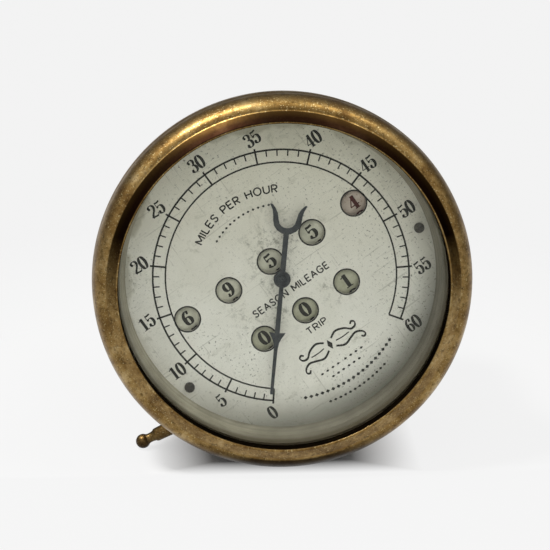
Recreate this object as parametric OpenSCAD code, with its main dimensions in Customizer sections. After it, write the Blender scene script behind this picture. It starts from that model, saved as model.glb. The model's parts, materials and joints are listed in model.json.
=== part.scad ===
// Dashboard speedometer with a season and a trip mileage counter.
// Rear mounting face at y = 0, dial towards -Y, twelve o'clock towards +Z.
// Every module works in a face frame: x right, y up, z towards the viewer,
// with z = 0 on the front of the dial. face() turns it into the object's frame.

/* [Bezel and glass] */
// Greatest radius of the bezel
bezel_r = 50.8; // [50.2:0.1:52]
// Radius of the sharp ridge round the bezel's front
ridge_r = 46.85; // [46.5:0.05:47.5]
// Height of the ridge in front of the dial
ridge_z = 14.2; // [14:0.1:14.6]
// Height of the bezel's lip in front of the dial
lip_z = 16.5; // [16:0.1:17]
// Height at which the outer band starts to turn in towards the ridge
band_z = 8; // [6:0.5:9]
// Radius of the opening in the bezel
opening_r = 43.6; // [43:0.1:44]
// Radius of the dial that shows inside the spacer ring
dial_edge_r = 42.1; // [41.8:0.1:42.4]
// Height of the glass's back face above the dial
glass_z = 9.6; // [9:0.1:10]
// Thickness of the glass
glass_t = 2.6; // [2:0.1:2.8]

/* [Case] */
// Outer radius of the case behind the bezel
case_r = 44.5; // [44.2:0.1:45.2]
// Thickness of the case's wall
case_wall = 1.0; // [0.8:0.1:1.1]
// Depth of the case behind the dial
case_depth = 41; // [41:0.5:44]
// Thickness of the screwed back plate
back_t = 1.2; // [1:0.1:2]
// Thickness of the mounting boss on the back plate
boss_t = 3.8; // [3.5:0.1:5]
// Radius of the mounting boss
boss_r = 24; // [22:0.5:26]

/* [Mounting] */
// Circle of the threaded mounting holes
mount_pcd = 38; // [34:0.5:40]
// Radius of each mounting hole
mount_hole_r = 2.1; // [1.6:0.1:2.6]
// Depth of each mounting hole
mount_hole_depth = 4.0; // [3:0.1:4.5]
// Radius of the ferrule's thread for the cable nut
ferrule_r = 7.94; // [7:0.02:8]
// How far the ferrule stands out of the mounting face
ferrule_out = 10; // [8:0.5:14]
// Radius of the ferrule's bore, where the cable's nose goes in
ferrule_bore_r = 4.2; // [4:0.1:4.5]

/* [Dial] */
// Thickness of the dial plate
dial_t = 0.5; // [0.4:0.05:0.5]
// Radius of a counter window
window_r = 3.3; // [3:0.05:3.5]
// Distance between two season windows
season_pitch = 13.7; // [13.6:0.05:13.9]
// Height of the season windows and their drum shaft above the pointer's axis
season_y = 5.2; // [5.15:0.05:5.25]
// Distance between two trip windows
trip_pitch = 13.6; // [13.5:0.05:13.8]
// Height of the trip windows and their drum shaft above the pointer's axis
trip_y = -11.45; // [-11.5:0.05:-11.4]
// Sideways place of each dial screw
dial_screw_x = 38; // [37.5:0.1:38.3]
// Height of the dial screws above the pointer's axis
dial_screw_y = -10.6; // [-11:0.1:-10]

/* [Pointer] */
// Height of the pointer's back above the dial
pointer_z = 3.2; // [3:0.05:3.4]
// Thickness of the pointer
pointer_t = 0.45; // [0.3:0.05:0.5]
// Length from the pointer's axis to the needle's tip
pointer_tip = 32; // [31:0.1:33]
// Direction of the needle at rest, counted from +X
pointer_rest = 229.9; // [229:0.1:231]
// Radius of the forked tail's ends
fork_r = 20.4; // [19:0.1:21]

/* [Counters] */
// Radius of a counter drum
drum_r = 8.0; // [7.9:0.05:8]
// Width of a counter drum
drum_w = 8.0; // [7.8:0.1:8]
// Depth of both drum shafts behind the dial
drum_depth = 9.1; // [9.1:0.05:9.2]
// Tooth module of the slow transfer gears
transfer_module = 0.375; // [0.375]

/* [Gear train] */
// Tooth module of the spur train
train_module = 0.5; // [0.5]
// Teeth on the main shaft's pinion
main_teeth = 12; // [12]
// Teeth on the middle wheel
middle_teeth = 72; // [72]
// Teeth on the middle pinion
middle_pinion_teeth = 19; // [19]
// Teeth on the worm shaft's wheel
worm_shaft_teeth = 34; // [34]
// Teeth on each drum's worm wheel
worm_wheel_teeth = 32; // [32]
// Tooth module of the worm and its wheels
worm_module = 0.4; // [0.4]
// Teeth on the two equal wheels between the main shaft and the magnet
magnet_teeth = 50; // [50]
// Teeth on the two pinions that the pointer's rack joins
rack_pinion_teeth = 16; // [16]
// Tooth module of the rack
rack_module = 0.2; // [0.2]

/* [Reset pull] */
// Radius of the ball on the reset pull
ball_r = 2.0; // [1.8:0.05:2.2]
// Direction of the reset pull, counted from +X
reset_dir = 171; // [170:0.5:172]

/* [Hidden] */
$fn = 96;
// Clearance round a pin that stands still in its hole
snug = 0.02;
// Clearance of a shaft that turns in its hole
run = 0.05;

mount_z = -(case_depth + back_t + boss_t);
total_depth = -mount_z;

// Case
case_in = case_r - case_wall;
case_round = 2.5;
seat_in = 45.8;
seat_r = 46.8;
case_lip_r = 40.2;
back_r = case_r - 1.5;
back_screw_pos = case_r - 3.2;
case_front_z = glass_z - 0.3;

// Movement plates
plate_r = 41;
front_z = -20.5;
front_t = 1.5;
rear_z = -38.9;
rear_t = 1.5;
pillar_at = [55, 125, 240, 300];
pillar_pos = 37;
pillar_r = 2.5;

// Train centres: main shaft, middle arbor and worm shaft lie on one line
middle_pos = train_module * (main_teeth + middle_teeth) / 2;
worm_pos = middle_pos + train_module * (middle_pinion_teeth + worm_shaft_teeth) / 2;
worm_y = (season_y + trip_y) / 2;
worm_dir = asin(worm_y / worm_pos);
worm_x = worm_pos * cos(worm_dir);
wheel_pitch_r = worm_module * worm_wheel_teeth / 2;
worm_r = (season_y - trip_y) / 2 - wheel_pitch_r;
worm_lead = PI * worm_module;
worm_turns = 6;

// Rack between the pointer's pinion above it and the cup spindle's pinion below it
rack_r = rack_module * rack_pinion_teeth / 2;
rack_h = 1.4;
rack_z = -1.45;
rack_t = 0.7;
bridge_z = -1.95;
bridge_t = 0.35;

// Axis of the cup's spindle and of the magnet, off to the left of the counters
cup_y = -(2 * rack_r + rack_h);
cup_x = -sqrt(pow(train_module * magnet_teeth, 2) - cup_y * cup_y);
cup_dir = atan2(cup_y, cup_x);

// Transfer gears: 8 teeth drive 16 and 8 drive 40, so each pair of steps is ten to one
fast_teeth = 8;
idler_teeth = 16;
step_teeth = 8;
slow_teeth = 40;
transfer_gap = transfer_module * (step_teeth + slow_teeth) / 2;
idler_module = 2 * transfer_gap / (fast_teeth + idler_teeth);
transfer_lean = 75;
gear_w = 1.5;
slow_in = 0.35;
drum_shaft_r = 0.9;
transfer_shaft_r = 0.6;
bracket_x = 35.6;
bracket_t = 1.2;

// Pointer work
arbor_r = 0.5;
spindle_r = 0.6;
cup_r = 13.5;
cup_wall = 0.5;
cup_z = -29.4;
ferrule_in = 3.4;
ferrule_bore_depth = 5.6;
cup_front_z = -23.0;
main_shaft_r = 1.6;

// Reset pull: the ball's centre, and the rod's line towards the inside
ball_at = [-58.3, -16.95, -5.8];
reset_bush_r = 2.6;
bail_y = -29;
bail_depth = 14;
bail_x = 25;
hook_x = -21.2;

// ---------- Helpers ----------

module face() {
  translate([0, -total_depth, 0]) rotate([90, 0, 0]) children();
}

// Local +Z becomes +X of the face frame; local +Y stays up.
module along_x(x, y, z) {
  translate([x, y, z]) rotate([0, 90, 0]) children();
}

module at_polar(r, a) {
  translate([r * cos(a), r * sin(a), 0]) children();
}

module tube(r_out, r_in, z0, z1) {
  translate([0, 0, z0]) linear_extrude(z1 - z0) difference() {
    circle(r_out);
    circle(r_in);
  }
}

module rod(r, z0, z1) {
  translate([0, 0, z0]) cylinder(r = r, h = z1 - z0);
}

function polar(r, a) = [r * cos(a), r * sin(a)];

// One tooth as angles from its centre line: root, pitch and tip half thickness
function tooth_points(m, r, root, tip) = [
  [r - root * m, 1.0 * m / r], [r - 0.45 * root * m, 0.78 * m / r], [r, 0.62 * m / r],
  [r + tip * m, 0.26 * m / r], [r + tip * m, -0.26 * m / r], [r, -0.62 * m / r],
  [r - 0.45 * root * m, -0.78 * m / r], [r - root * m, -1.0 * m / r]
];

module gear_2d(m, teeth, phase, root = 1.1, tip = 0.85) {
  points = tooth_points(m, m * teeth / 2, root, tip);
  polygon([
    for (i = [0:teeth - 1]) for (p = points)
      polar(p[0], phase + i * 360 / teeth - p[1] * 180 / PI)
  ]);
}

module gear(m, teeth, phase, bore, z0, z1, root = 1.1, tip = 0.85) {
  translate([0, 0, z0]) linear_extrude(z1 - z0) difference() {
    gear_2d(m, teeth, phase, root, tip);
    circle(bore);
  }
}

// Slotted cheese-head screw: shank from z = -depth to 0, head above
module screw(shank_r, depth, head_r, head_t) {
  difference() {
    union() {
      rod(shank_r, -depth, 0.01);
      rod(head_r, 0, head_t);
    }
    translate([-head_r, -head_t / 4, head_t * 0.55]) cube([2 * head_r, head_t / 2, head_t]);
  }
}

// ---------- Case ----------

module case_shell() {
  color("darkgoldenrod") face() difference() {
    rotate_extrude() polygon([
      [seat_in, case_front_z], [seat_r, case_front_z], [seat_r, -dial_t - 1.2],
      [case_r, -dial_t - 2.0], [case_r, -case_depth + case_round],
      for (i = [1:8]) [
        case_r - case_round * (1 - cos(90 * i / 8)),
        -case_depth + case_round * (1 - sin(90 * i / 8))
      ],
      [case_lip_r, -case_depth], [case_lip_r, -case_depth + case_wall],
      [case_in - 1.5, -case_depth + case_wall], [case_in, -case_depth + case_round],
      [case_in, -dial_t], [seat_in, -dial_t]
    ]);
    reset_line() rod(reset_bush_r + snug, -24, -12);
    for (a = [0, 90, 180, 270]) at_polar(back_screw_pos, a) rod(0.8, -case_depth - 1, -case_depth + 2);
  }
}

module case_back() {
  color("goldenrod") face() difference() {
    union() {
      rod(back_r, -case_depth - back_t, -case_depth);
      rod(boss_r, mount_z, -case_depth);
    }
    rod(ferrule_r + snug, mount_z - 1, -case_depth + 1);
    for (a = [90, 210, 330]) at_polar(mount_pcd / 2, a)
      rod(mount_hole_r, mount_z - 1, mount_z + mount_hole_depth);
    for (a = pillar_at) at_polar(pillar_pos, a) rod(1.3, -case_depth - back_t - 1, -case_depth + 1);
    for (a = [0, 90, 180, 270]) at_polar(back_screw_pos, a)
      rod(0.8, -case_depth - back_t - 1, -case_depth + 1);
  }
}

module case_back_screws() {
  color("dimgray") face() for (a = [0, 90, 180, 270]) at_polar(back_screw_pos, a)
    translate([0, 0, -case_depth - back_t]) mirror([0, 0, 1])
      screw(0.78, back_t + case_wall - 0.2, 1.5, 0.9);
}

// A rounded outer band, a ridge, and a flat cone that rises from it to the lip
module bezel() {
  color("goldenrod") face() rotate_extrude($fn = 180) polygon([
    [opening_r, glass_z + glass_t + 0.35], [opening_r, lip_z - 0.2], [opening_r + 0.2, lip_z],
    [opening_r + 0.6, lip_z], [ridge_r - 0.2, ridge_z], [ridge_r + 0.2, ridge_z - 0.05],
    for (i = [1:9]) [
      ridge_r + 0.2 + (bezel_r - 0.4 - ridge_r) * sin(10 * i),
      band_z + (ridge_z - 0.05 - band_z) * cos(10 * i)
    ],
    [bezel_r, 5.5], [bezel_r - 0.1, 3], [bezel_r - 0.35, 1],
    for (i = [0:8]) [bezel_r - 2.9 + 2 * cos(90 * i / 8), -1.4 - 2 * sin(90 * i / 8)],
    [seat_r + 0.05, -3.4], [seat_r + 0.05, glass_z + glass_t + 0.35]
  ]);
}

module glass() {
  color("lightblue", 0.4) face() rotate_extrude() polygon([
    [0, glass_z], [seat_r - 0.25, glass_z], [seat_r - 0.25, glass_z + glass_t - 0.7],
    [seat_r - 3.6, glass_z + glass_t], [0, glass_z + glass_t]
  ]);
}

module glass_seal() {
  color("black") face() rotate_extrude() polygon([
    [opening_r + 0.35, glass_z + glass_t - 0.1], [seat_r - 0.25, glass_z + glass_t - 0.62],
    [seat_r - 0.25, glass_z + glass_t + 0.3], [opening_r + 0.35, glass_z + glass_t + 0.3]
  ]);
}

module spacer_ring() {
  color("olive") face() rotate_extrude() polygon([
    [dial_edge_r, 0], [seat_in - 0.05, 0], [seat_in - 0.05, glass_z], [opening_r + 0.3, glass_z]
  ]);
}

// ---------- Dial ----------

module dial() {
  color("silver") face() difference() {
    rod(seat_in - 0.05, -dial_t, 0);
    rod(arbor_r + 0.4, -dial_t - 1, 1);
    for (i = [-2:2]) translate([i * season_pitch, season_y, 0]) rod(window_r, -dial_t - 1, 1);
    for (i = [-1:1]) translate([i * trip_pitch, trip_y, 0]) rod(window_r, -dial_t - 1, 1);
    for (s = [-1, 1]) translate([s * dial_screw_x, dial_screw_y, 0]) rod(0.7, -dial_t - 1, 1);
  }
}

module dial_posts() {
  color("goldenrod") face() for (s = [-1, 1]) translate([s * dial_screw_x, dial_screw_y, 0]) difference() {
    rod(1.1, front_z + front_t, -dial_t);
    rod(0.67, -dial_t - 4, 1);
  }
}

module dial_screws() {
  color("dimgray") face() for (s = [-1, 1]) translate([s * dial_screw_x, dial_screw_y, 0])
    screw(0.65, 4, 1.4, 0.6);
}

// ---------- Movement frame ----------

module front_plate() {
  color("goldenrod") face() {
    difference() {
      rod(plate_r, front_z, front_z + front_t);
      rod(3 + snug, front_z - 1, front_z + front_t + 1);
      translate([cup_x, cup_y, 0]) rod(2.5 + snug, front_z - 1, front_z + front_t + 1);
      at_polar(worm_pos, worm_dir) rod(1.2 + run, front_z - 1, front_z + front_t + 1);
      at_polar(middle_pos, worm_dir) rod(0.8 + run, front_z - 1, front_z + front_t + 1);
      for (a = pillar_at) at_polar(pillar_pos, a) rod(0.9, front_z - 1, front_z + front_t + 1);
    }
    for (s = [-1, 1]) difference() {
      translate([s * bail_x - 0.6, bail_y - 2, front_z + front_t]) cube([1.2, 4, 7.3]);
      along_x(s * bail_x - 1, bail_y, -bail_depth) rod(1.0 + snug, 0, 2);
    }
  }
}

module rear_plate() {
  color("goldenrod") face() difference() {
    rod(plate_r, rear_z, rear_z + rear_t);
    rod(3.5 + snug, rear_z - 1, rear_z + rear_t + 1);
    translate([cup_x, cup_y, 0]) rod(3.5 + snug, rear_z - 1, rear_z + rear_t + 1);
    at_polar(middle_pos, worm_dir) rod(0.8 + run, rear_z - 1, rear_z + rear_t + 1);
    for (a = pillar_at) at_polar(pillar_pos, a) rod(pillar_r + snug, rear_z - 1, rear_z + rear_t + 1);
  }
}

module pillars() {
  color("goldenrod") face() for (a = pillar_at) at_polar(pillar_pos, a) difference() {
    rod(pillar_r, -case_depth, front_z);
    rod(0.9, front_z - 4, front_z + 1);
    rod(1.02, -case_depth - 1, -case_depth + 4);
  }
}

module plate_screws() {
  color("dimgray") face() {
    for (a = pillar_at) at_polar(pillar_pos, a) translate([0, 0, front_z + front_t])
      screw(0.85, 4, 1.8, 0.9);
    for (s = [-1, 1]) for (y = [-7.2, 2]) translate([s * (bracket_x + 0.4), y, bridge_z + bridge_t])
      rod(0.8, 0, 0.4);
  }
}

module movement_screws() {
  color("dimgray") face() for (a = pillar_at) at_polar(pillar_pos, a)
    translate([0, 0, -case_depth - back_t]) mirror([0, 0, 1]) screw(1.0, 4.5, 2.1, 1.1);
}

module cable_ferrule() {
  color("darkgoldenrod") face() rotate_extrude() polygon([
    [ferrule_in, rear_z], [10.5, rear_z], [10.5, -case_depth], [ferrule_r, -case_depth],
    [ferrule_r, mount_z - 1.6], [ferrule_r - 0.8, mount_z - 2.0], [ferrule_r - 0.8, mount_z - 2.6],
    [ferrule_r, mount_z - 3.0], [ferrule_r, mount_z - ferrule_out + 0.7],
    [ferrule_r - 0.7, mount_z - ferrule_out], [ferrule_bore_r, mount_z - ferrule_out],
    [ferrule_bore_r, mount_z - ferrule_out + ferrule_bore_depth],
    [ferrule_in, mount_z - ferrule_out + ferrule_bore_depth]
  ]);
}

module bushes() {
  color("peru") face() {
    tube(3, main_shaft_r + run, front_z - 0.3, front_z + front_t);
    tube(3.5, main_shaft_r + run, rear_z, rear_z + rear_t + 0.4);
    tube(ferrule_in - snug, main_shaft_r + run, rear_z - 5, rear_z - 0.1);
    translate([cup_x, cup_y, 0]) {
      tube(2.5, spindle_r + run, front_z - 0.4, front_z + front_t + 0.4);
      tube(3.5, main_shaft_r + run, rear_z, rear_z + rear_t + 0.4);
    }
  }
}

// ---------- Pointer and speed cup ----------

// Needle with a barbed head towards +X, forked tail towards -X
module pointer_2d() {
  difference() {
    union() {
      circle(2.3);
      polygon([
        [0, -0.55], [14.9, -0.68], [14.7, -2.25], [16.4, -1.25], [17.6, -0.75], [19.4, -0.5],
        [pointer_tip, -0.42], [pointer_tip, 0.42],
        [19.4, 0.5], [17.6, 0.75], [16.4, 1.25], [14.7, 2.25], [14.9, 0.68], [0, 0.55]
      ]);
      translate([-13, -0.7]) square([13, 1.4]);
      polygon(concat(
        [for (p = fork_outer) [p[0], p[1]]],
        [for (i = [len(fork_inner) - 1:-1:0]) [fork_inner[i][0], fork_inner[i][1]]],
        [for (i = [0:len(fork_inner) - 1]) [fork_inner[i][0], -fork_inner[i][1]]],
        [for (i = [len(fork_outer) - 1:-1:0]) [fork_outer[i][0], -fork_outer[i][1]]]
      ));
    }
    circle(arbor_r + snug);
  }
}

// Half outlines of the forked tail, from its root out to one rounded end
fork_outer = [
  [-12.2, 0], [-12.5, 1.2], [-13.3, 2.6], [-14.4, 3.45], [-15.8, 3.8], [-17.4, 3.95],
  [-18.8, 4.25], [-19.8, 4.75], [-fork_r + 0.15, 5.0], [-fork_r, 4.75]
];
fork_inner = [
  [-14.0, 0], [-14.1, 0.8], [-14.5, 1.5], [-15.2, 2.1], [-16.6, 2.45],
  [-18.0, 2.75], [-19.3, 3.45], [-fork_r + 0.1, 4.35]
];

module pointer() {
  color("darkslategray") face() rotate([0, 0, pointer_rest])
    translate([0, 0, pointer_z]) linear_extrude(pointer_t) pointer_2d();
}

module pointer_cap() {
  color("dimgray") face() rotate_extrude() polygon([
    [0, pointer_z + pointer_t], [2.2, pointer_z + pointer_t], [2.2, pointer_z + pointer_t + 0.3],
    [1.9, pointer_z + pointer_t + 0.55], [0.5, pointer_z + pointer_t + 0.65],
    [0.3, pointer_z + pointer_t + 0.8], [0, pointer_z + pointer_t + 0.85]
  ]);
}

module pointer_arbor() {
  color("silver") face() {
    rod(arbor_r, bridge_z, pointer_z + pointer_t);
    rod(1.6, pointer_z - 1.2, pointer_z);
    gear(rack_module, rack_pinion_teeth, -90, 0.2, rack_z, rack_z + rack_t);
  }
}

// Strip with teeth above it for the pointer and below it for the cup's spindle, at rest
module rack_2d() {
  pitch = PI * rack_module;
  top = -rack_r;
  low = -rack_r - rack_h;
  tooth = [[-1.0, -1.1], [-0.62, 0], [-0.26, 0.85], [0.26, 0.85], [0.62, 0], [1.0, -1.1]];
  upper = [for (i = [-2:14]) for (p = tooth)
    [(i + 0.5) * pitch + p[0] * rack_module, top + p[1] * rack_module]];
  lower = [for (i = [14:-1:-3]) for (k = [5:-1:0])
    [cup_x + (i + 0.5) * pitch + tooth[k][0] * rack_module, low - tooth[k][1] * rack_module]];
  polygon(concat(
    [[cup_x - 2.6, top - 1.1 * rack_module]], upper,
    [[10, top - 1.1 * rack_module], [10, low + 1.1 * rack_module]], lower,
    [[cup_x - 2.6, low + 1.1 * rack_module]]
  ));
}

module pointer_rack() {
  color("silver") face() translate([0, 0, rack_z]) linear_extrude(rack_t) rack_2d();
}

// Thin bar across the counter brackets that bears the pointer's arbor and guides the rack
module pointer_bridge() {
  end = bracket_x + bracket_t;
  color("goldenrod") face() {
    difference() {
      union() {
        translate([-end, -6.2, bridge_z]) cube([2 * end, 6.95, bridge_t]);
        for (s = [-1, 1]) translate([s > 0 ? bracket_x - 0.6 : -end, -8.2, bridge_z])
          cube([bracket_t + 0.6, 11.2, bridge_t]);
      }
      rod(arbor_r + run, bridge_z - 1, bridge_z + 1);
      translate([cup_x, cup_y, 0]) rod(spindle_r + run, bridge_z - 1, bridge_z + 1);
      at_polar(worm_pos, worm_dir) rod(1.2 + run, bridge_z - 1, bridge_z + 1);
    }
    for (x = [-12, -18]) translate([x, -rack_r - 1.1 * rack_module + 0.45, 0])
      rod(0.4, bridge_z, rack_z + rack_t - 0.1);
    for (x = [-12, 0]) translate([x, -rack_r - rack_h + 1.1 * rack_module - 0.45, 0])
      rod(0.4, bridge_z, rack_z + rack_t - 0.1);
  }
}

module spindle() {
  color("silver") face() translate([cup_x, cup_y, 0]) {
    rod(spindle_r, -27.0, rack_z + rack_t);
    gear(rack_module, rack_pinion_teeth, 90, 0.3, rack_z, rack_z + rack_t);
    rod(1.5, -22.5, -21.3);
  }
}

// Flat spiral ribbon of 5 turns from beside the collet out to the stud
module hairspring() {
  turns = 5;
  r0 = 1.95;
  r1 = 6.6;
  ribbon = 0.16;
  steps = 100;
  inner = [for (i = [0:steps]) polar(r0 + (r1 - r0) * i / steps, i * 360 * turns / steps)];
  outer = [for (i = [steps:-1:0]) polar(r0 + ribbon + (r1 - r0) * i / steps, i * 360 * turns / steps)];
  color("steelblue") face() translate([cup_x, cup_y, -22.2]) linear_extrude(0.6)
    polygon(concat(inner, outer));
}

module hairspring_stud() {
  color("dimgray") face() translate([cup_x + 6.78, cup_y - 0.9, -22.4]) cube([1.2, 1.8, 1.9]);
}

module speed_cup() {
  color("lightgray") face() translate([cup_x, cup_y, 0]) difference() {
    rod(cup_r, cup_z, cup_front_z);
    rod(cup_r - cup_wall, cup_z - 1, cup_front_z - 0.6);
    rod(spindle_r + snug, cup_z, cup_front_z + 1);
  }
}

// ---------- Drive ----------

module main_shaft() {
  color("silver") face() difference() {
    union() {
      rod(main_shaft_r, -46, front_z + front_t);
      rod(2.4, -50, -44.3);
    }
    translate([-1.3, -1.3, -51]) cube([2.6, 2.6, 5.5]);
  }
}

module main_gear() {
  color("goldenrod") face() difference() {
    union() {
      gear(train_module, magnet_teeth, cup_dir, 0.5, -36.6, -35.5);
      rod(3, -35.5, -33.5);
      gear(train_module, main_teeth, worm_dir, 0.5, -24.9, -22.7);
      rod(2.4, -33.5, -24.9);
    }
    rod(main_shaft_r + snug, -37, -22);
  }
}

module magnet_shaft() {
  color("gray") face() translate([cup_x, cup_y, 0]) difference() {
    union() {
      rod(main_shaft_r, rear_z, -25.0);
      rod(15.2, -31.2, -30.0);
      rod(7.9, -30.0, -25.4);
    }
    rod(spindle_r + run, -27.6, -24);
  }
}

module magnet_wheel() {
  color("goldenrod") face() translate([cup_x, cup_y, 0]) difference() {
    union() {
      gear(train_module, magnet_teeth, cup_dir + 180 + 180 / magnet_teeth, 0.5, -36.6, -35.5);
      rod(3, -35.5, -31.2);
    }
    rod(main_shaft_r + snug, -37, -31);
  }
}

module magnet_ring() {
  color("dimgray") face() translate([cup_x, cup_y, 0]) tube(12.3, 7.9 + snug, -30.0, -24.6);
}

module field_ring() {
  color("slategray") face() translate([cup_x, cup_y, 0]) tube(15.2, 14.2, -30.0, -23.6);
}

module middle_arbor() {
  color("silver") face() at_polar(middle_pos, worm_dir) {
    rod(0.8, rear_z, front_z + front_t);
    rod(1.1, -36.8, -20.8);
    gear(train_module, middle_pinion_teeth, worm_dir, 0.3, -22.6, -20.9);
  }
}

module middle_wheel() {
  color("goldenrod") face() at_polar(middle_pos, worm_dir)
    gear(train_module, middle_teeth, worm_dir + 180 + 180 / middle_teeth, 1.1 + snug, -24.4, -23.2);
}

// A circle set off its axis and twisted makes the worm's single thread
module worm_shaft() {
  length = worm_turns * worm_lead;
  color("silver") face() at_polar(worm_pos, worm_dir) {
    rod(1.2, -22.7, -drum_depth - length / 2);
    rod(1.2, -drum_depth + length / 2, bridge_z + bridge_t);
    translate([0, 0, -drum_depth - length / 2])
      linear_extrude(length, twist = -360 * worm_turns, slices = 14 * worm_turns, $fn = 20)
        rotate(-90) translate([worm_module, 0]) circle(worm_r, $fn = 20);
  }
}

module worm_shaft_wheel() {
  color("goldenrod") face() at_polar(worm_pos, worm_dir) difference() {
    gear(train_module, worm_shaft_teeth, worm_dir + 180 + 180 / worm_shaft_teeth, 0.5, -22.5, -21.1);
    rod(1.2 + snug, -37, -3);
  }
}

// ---------- Counters ----------

// Drum centred on its own x; slow gear on its right, fast gear on its left, as asked
module drum(slow, fast, lean, tint) {
  color(tint) difference() {
    union() {
      rotate_extrude() polygon([
        [drum_shaft_r + run, -drum_w / 2], [1.9, -drum_w / 2], [1.9, drum_w / 2 - 1.2],
        [drum_r - 0.8, drum_w / 2 - 1.2], [drum_r - 0.8, -drum_w / 2], [drum_r, -drum_w / 2],
        [drum_r, drum_w / 2], [drum_shaft_r + run, drum_w / 2]
      ]);
      if (slow) {
        rod(6.0, drum_w / 2, drum_w / 2 + slow_in);
        gear(transfer_module, slow_teeth, lean, 0.5, drum_w / 2 + slow_in, drum_w / 2 + slow_in + gear_w);
      }
      if (fast) {
        rod(1.9, -drum_w / 2 - 0.8, -drum_w / 2);
        gear(idler_module, fast_teeth, lean, 0.5, -drum_w / 2 - 0.8 - gear_w, -drum_w / 2 - 0.8);
      }
    }
    rod(drum_shaft_r + run, -drum_w, drum_w);
  }
}

// The fastest drum's sleeve carries its worm wheel out to the worm
module worm_wheel_sleeve(x, side) {
  reach = worm_x - x;
  color("goldenrod") {
    tube(1.9, drum_shaft_r + run, drum_w / 2, reach + 0.6);
    gear(worm_module, worm_wheel_teeth, side > 0 ? -90 : 90 + 180 / worm_wheel_teeth, drum_shaft_r + run,
         reach - 0.6, reach + 0.6, 0.9, 0.6);
  }
}

module season_drum(i) {
  x = (i - 3) * season_pitch;
  face() along_x(x, season_y, -drum_depth) {
    drum(i < 5, i > 1, transfer_lean, i == 5 ? "rosybrown" : "beige");
    if (i == 5) worm_wheel_sleeve(x, 1);
  }
}

module trip_drum(i) {
  x = (i - 2) * trip_pitch;
  face() along_x(x, trip_y, -drum_depth) {
    drum(i < 3, i > 1, -transfer_lean, "wheat");
    if (i == 3) worm_wheel_sleeve(x, -1);
  }
}

// Transfer pinion in the gap to the right of drum i
module transfer_pinion(x, y, lean, pitch) {
  start = drum_w / 2 + slow_in;
  idler_start = pitch - drum_w / 2 - 0.8 - gear_w;
  color("goldenrod") face()
    along_x(x, y + transfer_gap * sin(lean), -drum_depth - transfer_gap * cos(lean)) {
      gear(transfer_module, step_teeth, lean + 180 + 180 / step_teeth,
           transfer_shaft_r + run, start, start + gear_w + 0.1);
      gear(idler_module, idler_teeth, lean + 180 + 180 / idler_teeth,
           transfer_shaft_r + run, idler_start, idler_start + gear_w);
      tube(1.05, transfer_shaft_r + run, start + gear_w, idler_start + 0.1);
    }
}

module season_pinion(i) {
  transfer_pinion((i - 3) * season_pitch, season_y, transfer_lean, season_pitch);
}

module trip_pinion(i) {
  transfer_pinion((i - 2) * trip_pitch, trip_y, -transfer_lean, trip_pitch);
}

module drum_shafts() {
  color("silver") face() for (y = [season_y, trip_y]) along_x(0, y, -drum_depth)
    rod(drum_shaft_r, -bracket_x - bracket_t, bracket_x + bracket_t);
}

function transfer_y(y, s) = y + s * transfer_gap * sin(transfer_lean);
transfer_z = -drum_depth - transfer_gap * cos(transfer_lean);

module transfer_shafts() {
  color("silver") face() for (row = [[season_y, 1], [trip_y, -1]])
    along_x(0, transfer_y(row[0], row[1]), transfer_z)
      rod(transfer_shaft_r, -bracket_x - bracket_t, bracket_x + bracket_t);
}

// Upright plate at one end of the drum shafts, cut away for the worm and the reset rod
module counter_bracket(x0) {
  color("goldenrod") face() difference() {
    translate([x0, 0, 0]) rotate([90, 0, 90]) linear_extrude(bracket_t) polygon([
      [-22.2, front_z + front_t], [-22.2, -9.2], [-17.2, -9.2], [-15.5, -4.5], [-13, bridge_z],
      [-5.9, bridge_z], [-5.9, -14.2], [-0.4, -14.2], [-0.4, bridge_z],
      [6, bridge_z], [16.5, -8], [16.5, front_z + front_t]
    ]);
    for (y = [season_y, trip_y]) along_x(x0 - 1, y, -drum_depth) rod(drum_shaft_r + snug, 0, 4);
    for (row = [[season_y, 1], [trip_y, -1]])
      along_x(x0 - 1, transfer_y(row[0], row[1]), transfer_z) rod(transfer_shaft_r + snug, 0, 4);
  }
}

// ---------- Reset pull ----------

// Local +Z runs outward along the reset rod, with 0 at the ball's centre
module reset_line() {
  translate(ball_at) rotate([0, 0, reset_dir]) rotate([0, 90, 0]) children();
}

module reset_stem() {
  hook = (hook_x - ball_at[0]) / -cos(reset_dir);
  color("goldenrod") face() reset_line() rotate_extrude() polygon([
    [0, -hook - 5.2], [1.8, -hook - 5.2], [1.8, -hook - 3.3], [1.2, -hook - 0.7], [1.2, -27.0],
    [2.0, -27.0], [2.0, -26.0], [1.5, -26.0], [1.5, -10.8], [2.05, -10.4], [1.9, -4.0],
    [1.45, -3.2], [1.45, -2.0],
    for (i = [0:10]) [ball_r * cos(-45 + 13.5 * i), ball_r * sin(-45 + 13.5 * i)]
  ]);
}

module reset_bush() {
  color("darkgoldenrod") face() reset_line() tube(reset_bush_r, 1.5 + run, -20.5, -16.4);
}

module reset_spring() {
  color("silver") face() reset_line() tube(2.3, 1.8, -25.9, -20.6);
}

module bail_shaft() {
  color("silver") face() along_x(0, bail_y, -bail_depth) rod(1.0, -bail_x - 0.6, bail_x + 0.6);
}

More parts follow.
